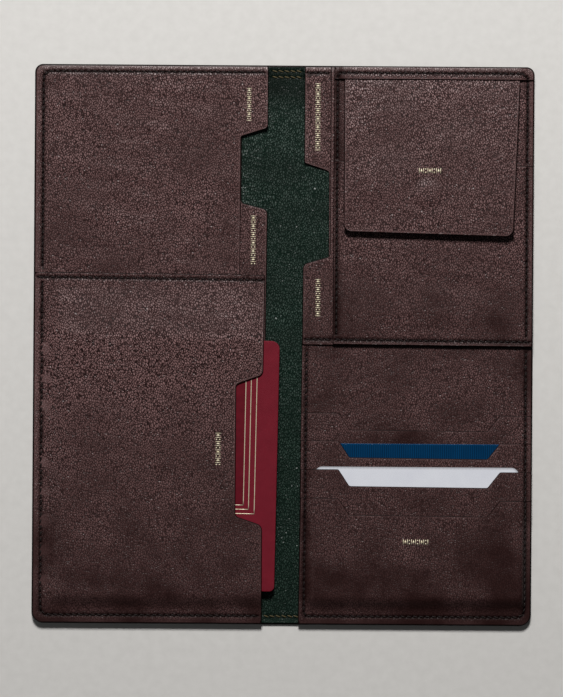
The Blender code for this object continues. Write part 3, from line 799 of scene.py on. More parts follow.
def book_cloth():
    """Burgundy booklet cover with a fine pressed weave."""
    n = Nodes("book_cloth")
    place = n.uv()
    ways = [n.wave(place, direction, "Fac", Distortion=0.4) for direction in ("X", "Y")]
    weave = n.math("MULTIPLY", *ways)
    mottle = n.ramp(n.noise(place, 2.0, 5.0), (0.3, (0.130, 0.0062, 0.0150)), (0.7, (0.165, 0.0088, 0.0195)))
    rubbed = n.noise(place, 30.0)
    normal = n.bump(rubbed, 0.00003, Normal=n.bump(weave, 0.00004))
    return n.surface(Base_Color=n.mix(weave, mottle, (0.185, 0.011, 0.024)), Specular_IOR_Level=0.12,
                     Roughness=n.ramp(rubbed, (0.0, 0.42), (1.0, 0.58)), Normal=normal)


def mottled(name, scale, detail, low, high, depth, noise_roughness=0.55, on_object=False, strength=1.0,
            **values):
    """Matt material with fine spots of two colours that are also its relief."""
    n = Nodes(name)
    place = n.add("ShaderNodeTexCoord", "Object") if on_object else n.uv()
    spots = n.noise(place, scale, detail, noise_roughness)
    return n.surface(Base_Color=n.ramp(spots, (0.3, low), (0.7, high)), Normal=n.bump(spots, depth, strength),
                     **values)


def card_plastic(name, low, high, roughness, gloss):
    """Printed card: faint mottle, fine scratches and a thin clear laminate; the red detail channel paints
    shade into its rib grooves and at the plain card's edges.
    """
    n = Nodes(name)
    mottle = n.ramp(n.noise(n.uv(), 1.2, 4.0), (0.3, low), (0.7, high))
    # Painted shade: colour mixed towards black by the red channel, in the blue card's rib grooves and at the
    # plain card's edges.
    colour = n.mix(n.math("MULTIPLY", n.detail()[0], 0.55), mottle, 0.0)
    scratches = n.noise(n.uv((1.0, 9.0, 1.0), 0.3), 12.0, 4.0, 0.7)
    shine = n.ramp(scratches, (0.0, roughness - 0.06), (1.0, roughness + 0.08))
    return n.surface(Base_Color=colour, Roughness=shine, Normal=n.bump(scratches, 0.000006),
                     Coat_Weight=gloss, Coat_Roughness=0.2, Specular_IOR_Level=0.15)


def nickel_plate():
    n = Nodes("nickel_plate")
    brushed = n.noise(n.uv((1.0, 14.0, 1.0), 0.2), 30.0)
    colour = n.ramp(n.noise(n.uv(), 4.0, 4.0), (0.3, (0.42, 0.39, 0.34)), (0.7, (0.62, 0.60, 0.56)))
    return n.surface(Base_Color=colour, Roughness=n.ramp(brushed, (0.0, 0.20), (1.0, 0.36)), Metallic=1.0,
                     Normal=n.bump(brushed, 0.000008))


# The third colour of each leather is its near-black cut-edge colour: edge paint with painted shade of the
# gaps.
LEATHER = grained_leather("brown_leather", (0.006, 0.0015, 0.0014), (0.136, 0.067, 0.065),
                          (0.0050, 0.0018, 0.0017), 14.5, 0.00018, 0.00034, 0.8)
LINING = grained_leather("green_lining", (0.0018, 0.0080, 0.0050), (0.0078, 0.0260, 0.0170),
                         (0.0012, 0.0050, 0.0032), 13.0, 0.00036, 0.00054, 0.9)
THREAD = waxed_thread("brown_thread", (0.0020, 0.0009, 0.0008), (0.014, 0.0070, 0.0062))
SPINE_THREAD = waxed_thread("olive_thread", (0.030, 0.026, 0.012), (0.12, 0.095, 0.045))
FOIL = gold_foil()
CLOTH = book_cloth()
INK = mottled("inked_panel", 3.0, 5.0, (0.095, 0.0040, 0.0105), (0.128, 0.0058, 0.0140), 0.00003,
              Roughness=0.5, Specular_IOR_Level=0.12)
PAPER = mottled("page_paper", 14.0, 6.0, (0.62, 0.57, 0.46), (0.76, 0.72, 0.61), 0.00003, Roughness=0.88)
BLUE_PLASTIC = card_plastic("blue_plastic", (0.0012, 0.038, 0.110), (0.0016, 0.046, 0.130), 0.26, 0.05)
WHITE_PLASTIC = card_plastic("white_plastic", (0.70, 0.72, 0.79), (0.75, 0.77, 0.83), 0.42, 0.1)
NICKEL = nickel_plate()
BOARD = mottled("stiffener_board", 900.0, 5.0, (0.22, 0.19, 0.15), (0.38, 0.34, 0.28), 0.00005, 0.5, True,
                Roughness=0.92)


# --- pieces and seams

def finish_piece(piece, material, slot, body, *nodes):
    """Material, body and the CAD nodes that a piece stands for; slot is not used."""
    piece.data.materials.clear()
    piece.data.materials.append(material)
    if nodes:
        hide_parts(*nodes)
    if body is not None:
        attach(piece, body)


def bend_over_spine(piece):
    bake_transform(piece)


def brown_sheet(name, corners, low, thickness, body, node, threads=(), **shape):
    """Brown leather piece and the seams that it carries, each as (name, routes, CAD nodes)."""
    shape.setdefault("seams", [route for thread in threads for route in thread[1]])
    piece, height = leather_sheet(name, corners, low, thickness, **shape)
    finish_piece(piece, LEATHER, "leather", body, node)
    for thread_name, routes, nodes in threads:
        finish_piece(stitch_row(thread_name, routes, height), THREAD, "thread", body, *nodes)
    return height


def join_pieces(name, pieces):
    with bpy.context.temp_override(active_object=pieces[0], selected_editable_objects=pieces):
        bpy.ops.object.join()
    pieces[0].name = name
    return pieces[0]


TICKET_SEAM = rounded_route([
    (SEAM_LEFT_X, 32.6, 0.0), (SEAM_LEFT_X, SEAM_TOP_Y, SEAM_RADIUS), (-8.8, SEAM_TOP_Y, 0.0)])
PASSPORT_SEAM = rounded_route([
    (SEAM_LEFT_X, 25.6, 0.0), (SEAM_LEFT_X, SEAM_BOTTOM_Y, SEAM_RADIUS), (-10.0, SEAM_BOTTOM_Y, 0.0)])
PASSPORT_HEM = [(-103.2, 27.9), (-8.6, 27.2)]
FOREIGN_SEAM = [(18.6, SEAM_TOP_Y), (9.4, SEAM_TOP_Y)]
BAND_SEAM = rounded_route([
    (22.2, 112.6, 0.0), (22.2, SEAM_TOP_Y, 0.9),
    (SEAM_RIGHT_X, SEAM_TOP_Y, SEAM_RADIUS), (SEAM_RIGHT_X, 112.4, 0.0)])
BACK_SEAMS = ([(22.2, 111.0), (22.2, 78.4)], [(SEAM_RIGHT_X, 111.0), (SEAM_RIGHT_X, 77.2)])
FRONT_SEAMS = (
    [(22.2, 76.0), (22.2, 4.8)], [(SEAM_RIGHT_X, 74.6), (SEAM_RIGHT_X, 4.2)], [(21.9, 2.45), (103.4, 1.9)])
BANK_HEM = [(9.4, 2.5), (20.0, 2.45)]
CARD_SEAM = rounded_route([
    (9.9, -2.4, 0.0), (9.4, SEAM_BOTTOM_Y, 0.8),
    (SEAM_RIGHT_X, SEAM_BOTTOM_Y, SEAM_RADIUS), (SEAM_RIGHT_X, -2.6, 0.0)])
COVER_SEAM = rounded_route([
    (0.0, SEAM_TOP_Y, 0.0), (SEAM_LEFT_X, SEAM_TOP_Y, SEAM_RADIUS), (SEAM_LEFT_X, SEAM_BOTTOM_Y, SEAM_RADIUS),
    (SEAM_RIGHT_X, SEAM_BOTTOM_Y, SEAM_RADIUS), (SEAM_RIGHT_X, SEAM_TOP_Y, SEAM_RADIUS),
    (2.6, SEAM_TOP_Y, 0.0)])
SPINE_SEAMS = ([(-5.4, 115.0), (7.2, 115.0)], [(-5.4, 112.5), (7.2, 112.5)], [(-7.6, -114.0), (7.4, -114.0)])


# --- cover and lining

def whole_outline(half_x, half_y, inset):
    top = TOP_RADIUS - inset
    bottom = BOTTOM_RADIUS - inset
    return box_corners(-half_x, -half_y, half_x, half_y, bottom, bottom, top, top)


def make_cover():
    """One hide for both halves and the spine, with pressed lines where the boards end."""
    def face(x, y):
        return -0.12 * bell(np.abs(x) - 8.6, 0.8)

    def spine_grain(x):
        """The spine stretches when the wallet closes, so its grain lies closer while it is open."""
        return x + 0.6 * np.clip(x, -SPINE_BEND, SPINE_BEND)

    def underside(x, y):
        return np.full_like(x, 0.42)

    cover, _ = leather_sheet(
        "outer_cover", whole_outline(COVER_X, COVER_Y, 0.0), 0.0, COVER_THICKNESS, dent=face,
        under_seams=(COVER_SEAM,), roll=0.4, spacing=2.2, under_spacing=1.8, paint_width=0.7,
        grain_x=spine_grain)
    finish_piece(cover, LEATHER, "leather", None, "cover_right", "cover_left", "cover_spine")
    bend_over_spine(cover)
    thread = stitch_row("seam_cover", (COVER_SEAM,), underside, side=-1)
    finish_piece(thread, THREAD, "thread", None)
    bend_over_spine(thread)


def make_lining():
    """The lining lies lower between the boards."""
    def rise(x, y):
        sunk = (LINING_ON_BOARD - LINING_ON_SPINE) * (1.0 - smooth(np.abs(x), 7.2, 9.9))
        return rim_drop(x, y) * smooth(np.abs(x), 8.0, 12.0) - sunk

    def face(x, y):
        wander = 0.6 + 0.4 * waves(flat(x, y), y, 60.0, 3)
        return 0.05 * waves(x, y, 9.0, 31) - 0.09 * bell(x + wander, 0.9)

    lining, height = leather_sheet(
        "green_lining", whole_outline(LINING_X, LINING_Y, 0.6), LINING_ON_BOARD, THIN_LEATHER, rise=rise,
        dent=face, seams=SPINE_SEAMS, roll=0.12, spacing=1.5, grain_and_light_map=lining_grain_and_painted_shade, seam_depth=0.1)
    finish_piece(lining, LINING, "lining", None, "lining_right", "lining_left", "lining_spine")
    bend_over_spine(lining)
    thread = stitch_row("seam_spine_ends", SPINE_SEAMS, height)
    finish_piece(thread, SPINE_THREAD, "thread", None)
    bend_over_spine(thread)


# --- panels of the left half

def tab_lift(x, y, place, size, height):
    """A free tab stands a little off the layer below."""
    return height * bell(np.hypot(x - place[0], y - place[1]), size)


def settle(x, y):
    """Above the card backing the pouch layers lie closer to the cover."""
    return -0.45 * smooth(y, 8.0, 30.0)


def panel_rise(slack, tab=None, base=rim_drop):
    """Height change of a panel: its share of the slow waves, and its tab as (place, size, height)."""
    def rise(x, y):
        height = base(x, y) + slack * drape(x, y)
        return height + tab_lift(x, y, *tab) if tab else height
    return rise


def settled_rim(x, y):
    return rim_drop(x, y) + settle(x, y)


def make_boarding_panel():
    corners = [BOTTOM_LEFT, (-8.3, -PANEL_Y, 0.5), (-6.9, 56.8, 2.6), (-17.9, 59.6, 1.5),
               (-17.9, PANEL_Y, 0.0), TOP_LEFT]
    return brown_sheet("boarding_panel", corners, REAR_PANEL_Z, PANEL_LEATHER, "left_half",
                       "boarding_pass_panel", rise=panel_rise(0.8, ((-7.0, 54.0), 9.0, 0.35)), spacing=1.6)


def make_ticket_panel():
    """It has an old crease beside the seam and the round mark that the press stud leaves when it is shut."""
    def face(x, y):
        along = smooth(y, 24.0, 40.0) * smooth(y, 115.0, 105.0)
        crease = -0.30 * bell(x + 95.3, 0.9) * along
        radius = np.hypot(x + 61.0, y - 60.0)
        stud = -0.14 * bell(radius - 6.0, 2.0) + 0.14 * bell(radius, 4.0)
        return crease + stud + 0.03 * waves(x, y, 6.0, 12)

    corners = [BOTTOM_LEFT, (-18.4, -PANEL_Y, 0.5), (-18.2, 87.4, 0.8), (-6.9, 91.0, 2.0),
               (-6.9, PANEL_Y, 0.6), TOP_LEFT]
    return brown_sheet("ticket_leather", corners, TICKET_Z, PANEL_LEATHER, "left_half", "ticket_panel",
                       [("seam_ticket", (TICKET_SEAM,), ("seam_left_upper",))],
                       rise=panel_rise(1.0, ((-7.0, 92.0), 11.0, 0.6)), dent=face)


def passport_rise(x, y):
    """Pocket leather: sewn down flat at three edges and raised over the booklet."""
    over = smooth(x, -100.3, -92.0) * smooth(y, -112.0, -104.5)
    slope = np.clip((25.0 - y) / 21.5, 0.0, 1.0)
    body = 2.54 * over * slope
    free = smooth(x, -60.0, -20.0) * smooth(y, -110.0, -70.0) * smooth(y, 18.0, -6.0)
    return rim_drop(x, y) + body + drape(x, y) * (1.0 - 0.6 * over) + 0.12 * free


def passport_face(x, y):
    """Edges of the booklet show through, with slack leather above it."""
    top_edge = 0.10 * bell(y - 1.0 - 0.02 * x, 2.2) * smooth(x, -84.0, -70.0)
    spine_edge = 0.10 * bell(x + 77.5, 2.5) * smooth(y, -108.0, -98.0) * smooth(y, 8.0, 0.0)
    fold = -0.10 * bell(y - 4.6 - 0.01 * x, 0.7) * smooth(x, -88.0, -70.0)
    return top_edge + spine_edge + fold + 0.035 * waves(x, y, 7.0, 21)


def make_passport_panel():
    corners = [BOTTOM_LEFT, (-8.2, -PANEL_Y, 0.5), (-8.3, -75.6, 3.0), (-19.5, -71.8, 2.0),
               (-19.5, -16.6, 2.0), (-8.2, -12.6, 3.0), (-7.7, 29.3, 0.6), (-PANEL_X, 30.0, 0.3)]
    threads = [("seam_passport", (PASSPORT_SEAM,), ("seam_left_lower",)),
               ("seam_passport_hem", (PASSPORT_HEM,), ("seam_passport_top",))]
    return brown_sheet("passport_leather", corners, PASSPORT_Z, FRONT_LEATHER, "left_half",
                       "passport_panel", threads, rise=passport_rise, dent=passport_face, roll=0.26)


# --- booklet

BOOKLET_TIP_X = -1.4
BOOKLET_TOP_Y = 1.6
BOOKLET_LEFT_X = BOOKLET_TIP_X - 75.0
BOOKLET_LOW_Y = BOOKLET_TOP_Y - 105.0
BOOKLET_TILT = math.radians(-0.9)
BOOKLET_COVER = 0.36
BOOKLET_GAP = 0.04
LEAVES = 13


def finish_booklet_piece(piece, material, slot, *nodes):
    """Turn the mesh with the slightly skewed booklet and finish it."""
    places = np.empty(len(piece.data.vertices) * 3)
    piece.data.vertices.foreach_get("co", places)
    places = places.reshape(-1, 3)
    x = places[:, 0] - BOOKLET_TIP_X * MM
    y = places[:, 1] - BOOKLET_TOP_Y * MM
    places[:, 0] = BOOKLET_TIP_X * MM + x * math.cos(BOOKLET_TILT) - y * math.sin(BOOKLET_TILT)
    places[:, 1] = BOOKLET_TOP_Y * MM + x * math.sin(BOOKLET_TILT) + y * math.cos(BOOKLET_TILT)
    piece.data.vertices.foreach_set("co", places.ravel())
    piece.data.update()
    finish_piece(piece, material, slot, "passport", *nodes)


def booklet_sag(x, y):
    """The fore edge of the booklet relaxes a little."""
    return -0.18 * smooth(x, -14.0, BOOKLET_TIP_X) ** 2


def make_booklet_cover():
    corners = box_corners(BOOKLET_LEFT_X, BOOKLET_LOW_Y, BOOKLET_TIP_X, BOOKLET_TOP_Y, 0.4, 2.2, 3.4, 0.4)
    spine = box_corners(BOOKLET_LEFT_X, BOOKLET_LOW_Y, BOOKLET_LEFT_X + 0.7, BOOKLET_TOP_Y, *[0.3] * 4)
    height = BOOKLET_TOP_Z - BOOKLET_Z
    upper, _ = leather_sheet("booklet_upper", corners, BOOKLET_TOP_Z - BOOKLET_COVER, BOOKLET_COVER,
                             rise=booklet_sag, roll=0.16, spacing=4.0)
    lower, _ = leather_sheet("booklet_lower", corners, BOOKLET_Z, BOOKLET_COVER, roll=0.16, spacing=8.0)
    back, _ = leather_sheet("booklet_back", spine, BOOKLET_Z + 0.05, height - 0.1, roll=0.15, spacing=4.0)
    cover = join_pieces("booklet_cover", [upper, lower, back])
    finish_booklet_piece(cover, CLOTH, "booklet", "passport_cover")


def make_booklet_pages():
    """Block of thin leaves, each trimmed a little differently."""
    low = BOOKLET_Z + BOOKLET_COVER + BOOKLET_GAP
    high = BOOKLET_TOP_Z - BOOKLET_COVER - BOOKLET_GAP
    pitch = (high - low) / LEAVES
    dice = random.Random(17)
    pages = []
    for index in range(LEAVES):
        trim = dice.uniform(0.42, 0.62)
        left = BOOKLET_LEFT_X + 0.8
        corners = [(left, BOOKLET_LOW_Y + 0.6, 0.3), (BOOKLET_TIP_X - trim, BOOKLET_LOW_Y + trim, 2.0),
                   (BOOKLET_TIP_X - trim, BOOKLET_TOP_Y - trim, 3.1), (left, BOOKLET_TOP_Y - 0.6, 0.3)]

        def sag(x, y, share=index / (LEAVES - 1)):
            return booklet_sag(x, y) * share

        leaf, _ = leather_sheet(f"leaf_{index}", corners, low + index * pitch, pitch * 0.84, rise=sag,
                                roll=0.03, spacing=9.0, under_spacing=20.0)
        pages.append(leaf)
    finish_booklet_piece(join_pieces("booklet_pages", pages), PAPER, "pages", "passport_pages")


def bar(name, start, end, width, height_at):
    """Flat strip of foil that follows a surface."""
    length = math.dist(start, end)
    steps = max(1, round(length / 2.0))
    tx, ty = (end[0] - start[0]) / length, (end[1] - start[1]) / length
    nx, ny = -ty * width / 2.0, tx * width / 2.0
    vertices = []
    for step in range(steps + 1):
        cx = start[0] + (end[0] - start[0]) * step / steps
        cy = start[1] + (end[1] - start[1]) * step / steps
        z = level_at(height_at, cx, cy)
        for side, lift in ((-1, -0.03), (-1, 0.03), (1, 0.03), (1, -0.03)):
            vertices.append((cx + nx * side, cy + ny * side, z + lift))
    faces = [(0, 1, 2, 3), tuple(4 * steps + corner for corner in (3, 2, 1, 0))]
    for a in range(0, steps * 4, 4):
        for corner in range(4):
            after = (corner + 1) % 4
            faces.append((a + corner, a + 4 + corner, a + 4 + after, a + after))
    uv = [(x * CM_PER_MM, y * CM_PER_MM) for x, y, _ in vertices]
    return new_mesh_object(name, vertices, faces, uv)


def make_booklet_print():
    """Three nested rules, as a plain frame, and the darker field inside them."""
    def top(x, y):
        return BOOKLET_TOP_Z + booklet_sag(x, y)

    frames = ((-62.7, -67.4, -15.1, -12.0), (-64.9, -69.2, -12.9, -10.2), (-67.3, -71.0, -10.5, -8.4))
    rules = []
    for index, (left, low, right, high) in enumerate(frames):
        corners = [(right, low), (right, high), (left, high), (left, low)]
        for side, (start, end) in enumerate(zip(corners, corners[1:] + corners[:1])):
            rules.append(bar(f"rule_{index}_{side}", start, end, 0.30, top))
    finish_booklet_piece(join_pieces("booklet_rules", rules), FOIL, "booklet")
    field, _ = leather_sheet("booklet_field", box_corners(*frames[0], *[0.4] * 4), BOOKLET_TOP_Z - 0.1, 0.115,
                             rise=booklet_sag, roll=0.01, spacing=5.0)
    finish_booklet_piece(field, INK, "booklet")


# --- right half, upper part

def make_foreign_panel():
    corners = [(8.6, -PANEL_Y, 0.5), BOTTOM_RIGHT, TOP_RIGHT, (8.4, PANEL_Y, 0.6), (8.4, 76.4, 1.2),
               (18.8, 73.0, 1.5), (18.8, 29.0, 1.5), (8.6, 26.0, 2.0)]
    return brown_sheet("foreign_leather", corners, REAR_PANEL_Z, PANEL_LEATHER, "right_half",
                       "foreign_notes_panel", [("seam_foreign", (FOREIGN_SEAM,), ("seam_foreign_top",))],
                       rise=panel_rise(0.25, ((8.6, 78.0), 9.0, 0.5)), spacing=1.6)


def make_bank_panel():
    corners = [(8.0, 0.1, 0.8), (PANEL_X, -0.6, 0.3), TOP_RIGHT, (19.4, PANEL_Y, 0.0), (19.4, 37.3, 1.6),
               (8.1, 34.0, 2.6)]
    rise = panel_rise(0.25, ((8.0, 32.0), 8.0, 0.35), settled_rim)
    return brown_sheet("bank_leather", corners, BANK_Z, FRONT_LEATHER, "right_half", "bank_notes_panel",
                       [("seam_bank_hem", (BANK_HEM,), ())], rise=rise, roll=0.24, spacing=1.6)


def make_pouch_back():
    corners = [(20.8, 1.2, 0.5), (PANEL_X, 0.9, 0.3), TOP_RIGHT, (20.8, PANEL_Y, 0.0)]
    threads = [("seam_pouch_back", BACK_SEAMS, ("seam_pouch_inner_top", "seam_pouch_outer_top"))]
    brown_sheet("pouch_back_leather", corners, POUCH_BACK_Z, PANEL_LEATHER, "right_half",
                "coin_pouch_back", threads, rise=panel_rise(0.25, base=settled_rim))


def make_pouch_front():
    """Sewn down at three sides, and slack in the middle and at its mouth."""
    def rise(x, y):
        slack = smooth(x, 22.5, 34.0) * smooth(x, 101.5, 90.0) * smooth(y, 2.5, 16.0)
        return settled_rim(x, y) + 0.5 * slack + drape(x, y) * (0.25 + 0.75 * slack)

    def face(x, y):
        hem = -0.06 * bell(y - 0.9 + 0.0065 * (x - 20.8), 0.5)
        return hem + 0.03 * waves(x, y, 6.5, 44)

    corners = [(20.8, 0.4, 0.3), (PANEL_X - 0.05, -0.15, 0.3), (PANEL_X - 0.05, 75.7, 0.4), (20.8, 77.5, 0.5)]
    nodes = ("seam_pouch_outer", "seam_pouch_inner", "seam_pouch_bottom")
    return brown_sheet("pouch_front_leather", corners, POUCH_FRONT_Z, FRONT_LEATHER, "right_half",
                       "coin_pouch_front", [("seam_pouch_front", FRONT_SEAMS, nodes)], rise=rise, dent=face,
                       roll=0.24)


def make_pouch_band():
    """Strip that closes the top edge over the root of the flap."""
    def rise(x, y):
        spread = smooth(x, 101.5, 99.0) * smooth(x, 22.0, 25.0)
        return settled_rim(x, y) - 0.55 * (1.0 - spread)

    corners = [(20.8, 111.6, 0.3), (PANEL_X, 111.6, 0.3), TOP_RIGHT, (20.8, PANEL_Y, 0.4)]
    brown_sheet("pouch_band_leather", corners, BAND_Z, BAND_LEATHER, "right_half", "coin_flap_root",
                [("seam_pouch_band", (BAND_SEAM,), ("seam_flap_root",))], rise=rise)


# --- coin flap and its press stud

FLAP_ROOT_Y = 111.8
FLAP_ROOT_Z = 3.52
FLAP_LEATHER = 0.6


def flap_height(y):
    """Underside of the flap's leather: it climbs from the seam to the stud, then runs on level."""
    climb = np.clip((FLAP_ROOT_Y - y) / (FLAP_ROOT_Y - SNAP_Y), 0.0, 1.0) ** 0.72
    return 3.2 * climb + 0.022 * np.maximum(SNAP_Y - y, 0.0)


def flap_rise(x, y):
    free = smooth(y, 108.0, 92.0)
    slack = 0.16 * waves(x, y, 26.0, 77) * free
    corners = -0.35 * smooth(y, 56.0, 46.0) * (smooth(x, 36.0, 25.0) - 0.6 * smooth(x, 86.0, 97.0))
    return flap_height(y) + slack + corners


def flap_face(x, y):
    radius = np.hypot(x - SNAP_X, y - SNAP_Y)
    stud = 0.34 * (1.0 - smooth(radius, 2.8, 6.6)) - 0.10 * bell(radius - 7.2, 1.4)
    return stud + 0.03 * waves(x, y, 6.0, 78)


def bend_flap(piece):
    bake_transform(piece)


def make_flap():
    corners = [(25.0, 47.6, 3.4), (96.0, 45.8, 3.4), (99.0, 115.9, 0.4), (25.0, 115.9, 0.4)]
    flap, height = leather_sheet("flap_leather", corners, FLAP_ROOT_Z, FLAP_LEATHER, rise=flap_rise,
                                 dent=flap_face, roll=0.28, spacing=1.1, under_spacing=1.1)
    finish_piece(flap, LEATHER, "leather", None, "coin_flap")
    bend_flap(flap)
    inner = [(25.5, 48.1, 3.0), (95.5, 46.3, 3.0), (98.4, 109.6, 0.6), (25.5, 109.6, 0.6)]
    lining, _ = leather_sheet("flap_lining_leather", inner, FLAP_ROOT_Z - THIN_LEATHER - 0.06, THIN_LEATHER,
                              rise=flap_rise, roll=0.12, spacing=1.1, under_spacing=0.8)
    finish_piece(lining, LINING, "lining", None, "coin_flap_lining")
    bend_flap(lining)
    return height


def make_press_stud(front_height):
    """Stud on the pouch front; socket and spring ring under the flap."""
    stud = [
        (0.0, 1.60), (1.1, 1.58), (1.65, 1.46), (1.88, 1.24), (1.86, 1.06), (1.62, 0.90), (1.50, 0.70),
        (1.52, 0.46), (1.8, 0.36), (3.6, 0.34), (4.5, 0.28), (4.95, 0.12), (5.0, -0.05), (0.0, -0.05)]
    socket = [
        (2.40, 0.06), (2.42, -0.55), (2.7, -0.84), (3.1, -0.96), (3.6, -0.92), (4.0, -0.70), (4.25, -0.42),
        (4.6, -0.26), (5.1, -0.22), (5.38, -0.12), (5.4, 0.06)]
    spring_ring = [
        (2.15, -0.42), (2.2, -0.52), (2.32, -0.56), (2.44, -0.52), (2.48, -0.42), (2.44, -0.32),
        (2.32, -0.28), (2.2, -0.32)]
    under = FLAP_ROOT_Z - THIN_LEATHER - 0.04
    under += level_at(flap_rise, SNAP_X, SNAP_Y)
    stud_piece = turned("stud_nickel", stud, level_at(front_height, SNAP_X, SNAP_Y))
    finish_piece(stud_piece, NICKEL, "nickel", "right_half", "snap_stud")
    socket_piece = turned("socket_nickel", socket, under)
    finish_piece(socket_piece, NICKEL, "nickel", "coin_flap_body", "snap_socket", "snap_cap")
    finish_piece(turned("socket_spring", spring_ring, under), NICKEL, "nickel", "coin_flap_body")


# --- card section

SLOT_BASE_Z = 2.9
SLOT_BORDERS = (0.0, 0.35, 0.70, 1.05)
SLOT_MIDDLES = (0.0, 1.30, 2.60, 3.0)
SLOT_THICKNESS = (0.3, 0.3, 0.3, 0.4)
SLOT_MOUTH_LIFT = (0.0, 0.07, 0.12, 0.0)
SLOT_WING_OVERLAP = 5.0
SLOT_SKEW = 0.8
TONGUE_LENGTH = 52.0
TONGUE_LOW_Y = -104.4
RIB_DEPTH = 0.12
RIB_PITCH = 0.9


def slot_corners(index):
    """T-shaped slot leather with its thumb notch and wings to the seams; the last one runs to the edge."""
    top = SLOT_TOPS[index]
    notch = top - NOTCH_DEPTH
    upper = [(PANEL_X, top - SLOT_SKEW, 0.5), (91.2, top - SLOT_SKEW, 1.2),
             (86.0, notch - SLOT_SKEW / 2.0, 1.2), (28.2, notch, 1.2), (23.6, top, 1.2), (7.7, top, 0.5)]
    if index == 3:
        return [(7.1, -PANEL_Y, 0.5), BOTTOM_RIGHT] + upper
    wing = SLOT_TOPS[index + 1] - SLOT_WING_OVERLAP
    tongue = max(top - TONGUE_LENGTH, TONGUE_LOW_Y)
    lower = [(7.5, wing, 0.3), (12.2, wing, 0.6), (12.2, tongue, 1.0), (101.3, tongue, 1.0),
             (101.3, wing, 0.6), (PANEL_X, wing, 0.3)]
    return lower + upper


def pocket_fill(x, y):
    """1 over the cards, 0 where the leathers are sewn together."""
    return smooth(x, 9.2, 13.0) * smooth(x, 103.6, 99.9) * smooth(y, -112.2, -104.9)


def backing_face(x, y):
    """Stretch wrinkles that run up from the lower left of the backing."""
    zone = smooth(x, 6.0, 16.0) * smooth(x, 80.0, 40.0) * smooth(y, 2.0, -6.0)
    heading = math.radians(24.0)
    across = -x * math.sin(heading) + y * math.cos(heading)
    along = x * math.cos(heading) + y * math.sin(heading)
    ripples = np.sin(across * math.tau / 4.4 + 1.2 * waves(along, across, 22.0, 91))
    strength = 0.5 + 0.5 * waves(x, y, 16.0, 92)
    return 0.09 * zone * ripples * strength + 0.03 * waves(x, y, 6.0, 93)


def make_card_backing():
    corners = [(7.1, -PANEL_Y, 0.5), BOTTOM_RIGHT, (PANEL_X, 6.0, 0.3), (8.0, 6.0, 0.3)]
    return brown_sheet("card_backing_leather", corners, BACKING_Z, THIN_LEATHER, "right_half",
                       "card_backing", rise=rim_drop, dent=backing_face, seams=(CARD_SEAM,), roll=0.16,
                       spacing=1.1)


def make_card_slot(index):
    """Slot leather that rises from its sewn border to the cards; its mouth stands off a little."""
    def rise(x, y):
        stacked = SLOT_BORDERS[index] * smooth(y, -76.0, -69.0)
        return rim_drop(x, y) + stacked + (SLOT_MIDDLES[index] - stacked) * pocket_fill(x, y)

    def face(x, y):
        top = SLOT_TOPS[index]
        across = smooth(x, 14.0, 40.0) * smooth(x, 98.0, 74.0)
        lift = SLOT_MOUTH_LIFT[index] * across * bell(y - (top - NOTCH_DEPTH), 6.0)
        return lift + 0.025 * waves(x, y, 7.0, int(-top))

    return brown_sheet(f"slot_leather_{index + 1}", slot_corners(index), SLOT_BASE_Z, SLOT_THICKNESS[index],
                       "right_half", f"card_slot_{index + 1}", rise=rise, dent=face, seams=(CARD_SEAM,),
                       roll=0.18, under_spacing=1.4)


def make_card_slots(backing_height):
    heights = [make_card_slot(index) for index in range(4)]

    def card_section_height(x, y):
        result = backing_height(x, y)
        for top, height in zip(SLOT_TOPS, heights):
            edge = top - SLOT_SKEW * smooth(x, 23.0, 92.0)
            result = np.where(y < edge, height(x, y), result)
        return result

    thread = stitch_row("seam_card_section", (CARD_SEAM,), card_section_height)
    finish_piece(thread, THREAD, "thread", "right_half", "seam_cards")
    return heights[3]


def card_corners(top):
    return box_corners(CARD_LEFT_X, top - CARD_HEIGHT, CARD_RIGHT_X, top, *[CARD_RADIUS] * 4)


def ribbed_card():
    """Blue card whose face is pressed into fine upright ribs."""
    outline = rounded_outline(card_corners(BLUE_TOP_Y))
    profile = edge_profile(CARD_THICKNESS, CARD_ROLL)
    rings, faces = edge_walls(outline, profile)
    first = sum(map(len, rings))
    low_y = BLUE_TOP_Y - CARD_HEIGHT + 0.7
    high_y = BLUE_TOP_Y - 0.7
    extra = []
    for column in np.arange(CARD_LEFT_X + 0.6, CARD_RIGHT_X - 0.5, RIB_PITCH / 4.0):
        for y in (low_y, low_y + 6.0, high_y - 20.0, high_y - 10.0, high_y):
            extra.append((float(column), float(y)))
    points = np.array(extra)
    points = points[outline_depth(points[:, 0], points[:, 1], outline) > 0.35]
    faces.extend(cap(rings, len(rings) - 1, list(map(tuple, points)), first))
    faces.extend(face[::-1] for face in cap(rings, 0, [], first))
    ribs = RIB_DEPTH / 2.0 * (np.cos((points[:, 0] - CARD_LEFT_X) * math.tau / RIB_PITCH) - 1.0)
    heights = [np.full(len(ring), BLUE_CARD_Z + height) for ring, (_, height) in zip(rings, profile)]
    heights.append(BLUE_CARD_Z + CARD_THICKNESS + ribs)
    x, y = np.concatenate([*rings, points]).T
    detail = np.zeros((len(x), 3))
    # Painted shade: the red channel darkens the card's colour in the rib grooves.
    detail[first:, 0] = -ribs / RIB_DEPTH
    vertices = np.column_stack([x, y, np.concatenate(heights)])
    return new_mesh_object("ribbed_card", vertices, faces, cut_uv("ribbed_card", x, y), detail)


def make_cards():
    finish_piece(ribbed_card(), BLUE_PLASTIC, "blue_card", "blue_card", "card_blue")
    white, _ = leather_sheet("plain_card", card_corners(WHITE_TOP_Y), WHITE_CARD_Z, CARD_THICKNESS,
                             roll=CARD_ROLL, spacing=6.0)
    finish_piece(white, WHITE_PLASTIC, "white_card", "white_card", "card_white")


# --- foil ornaments

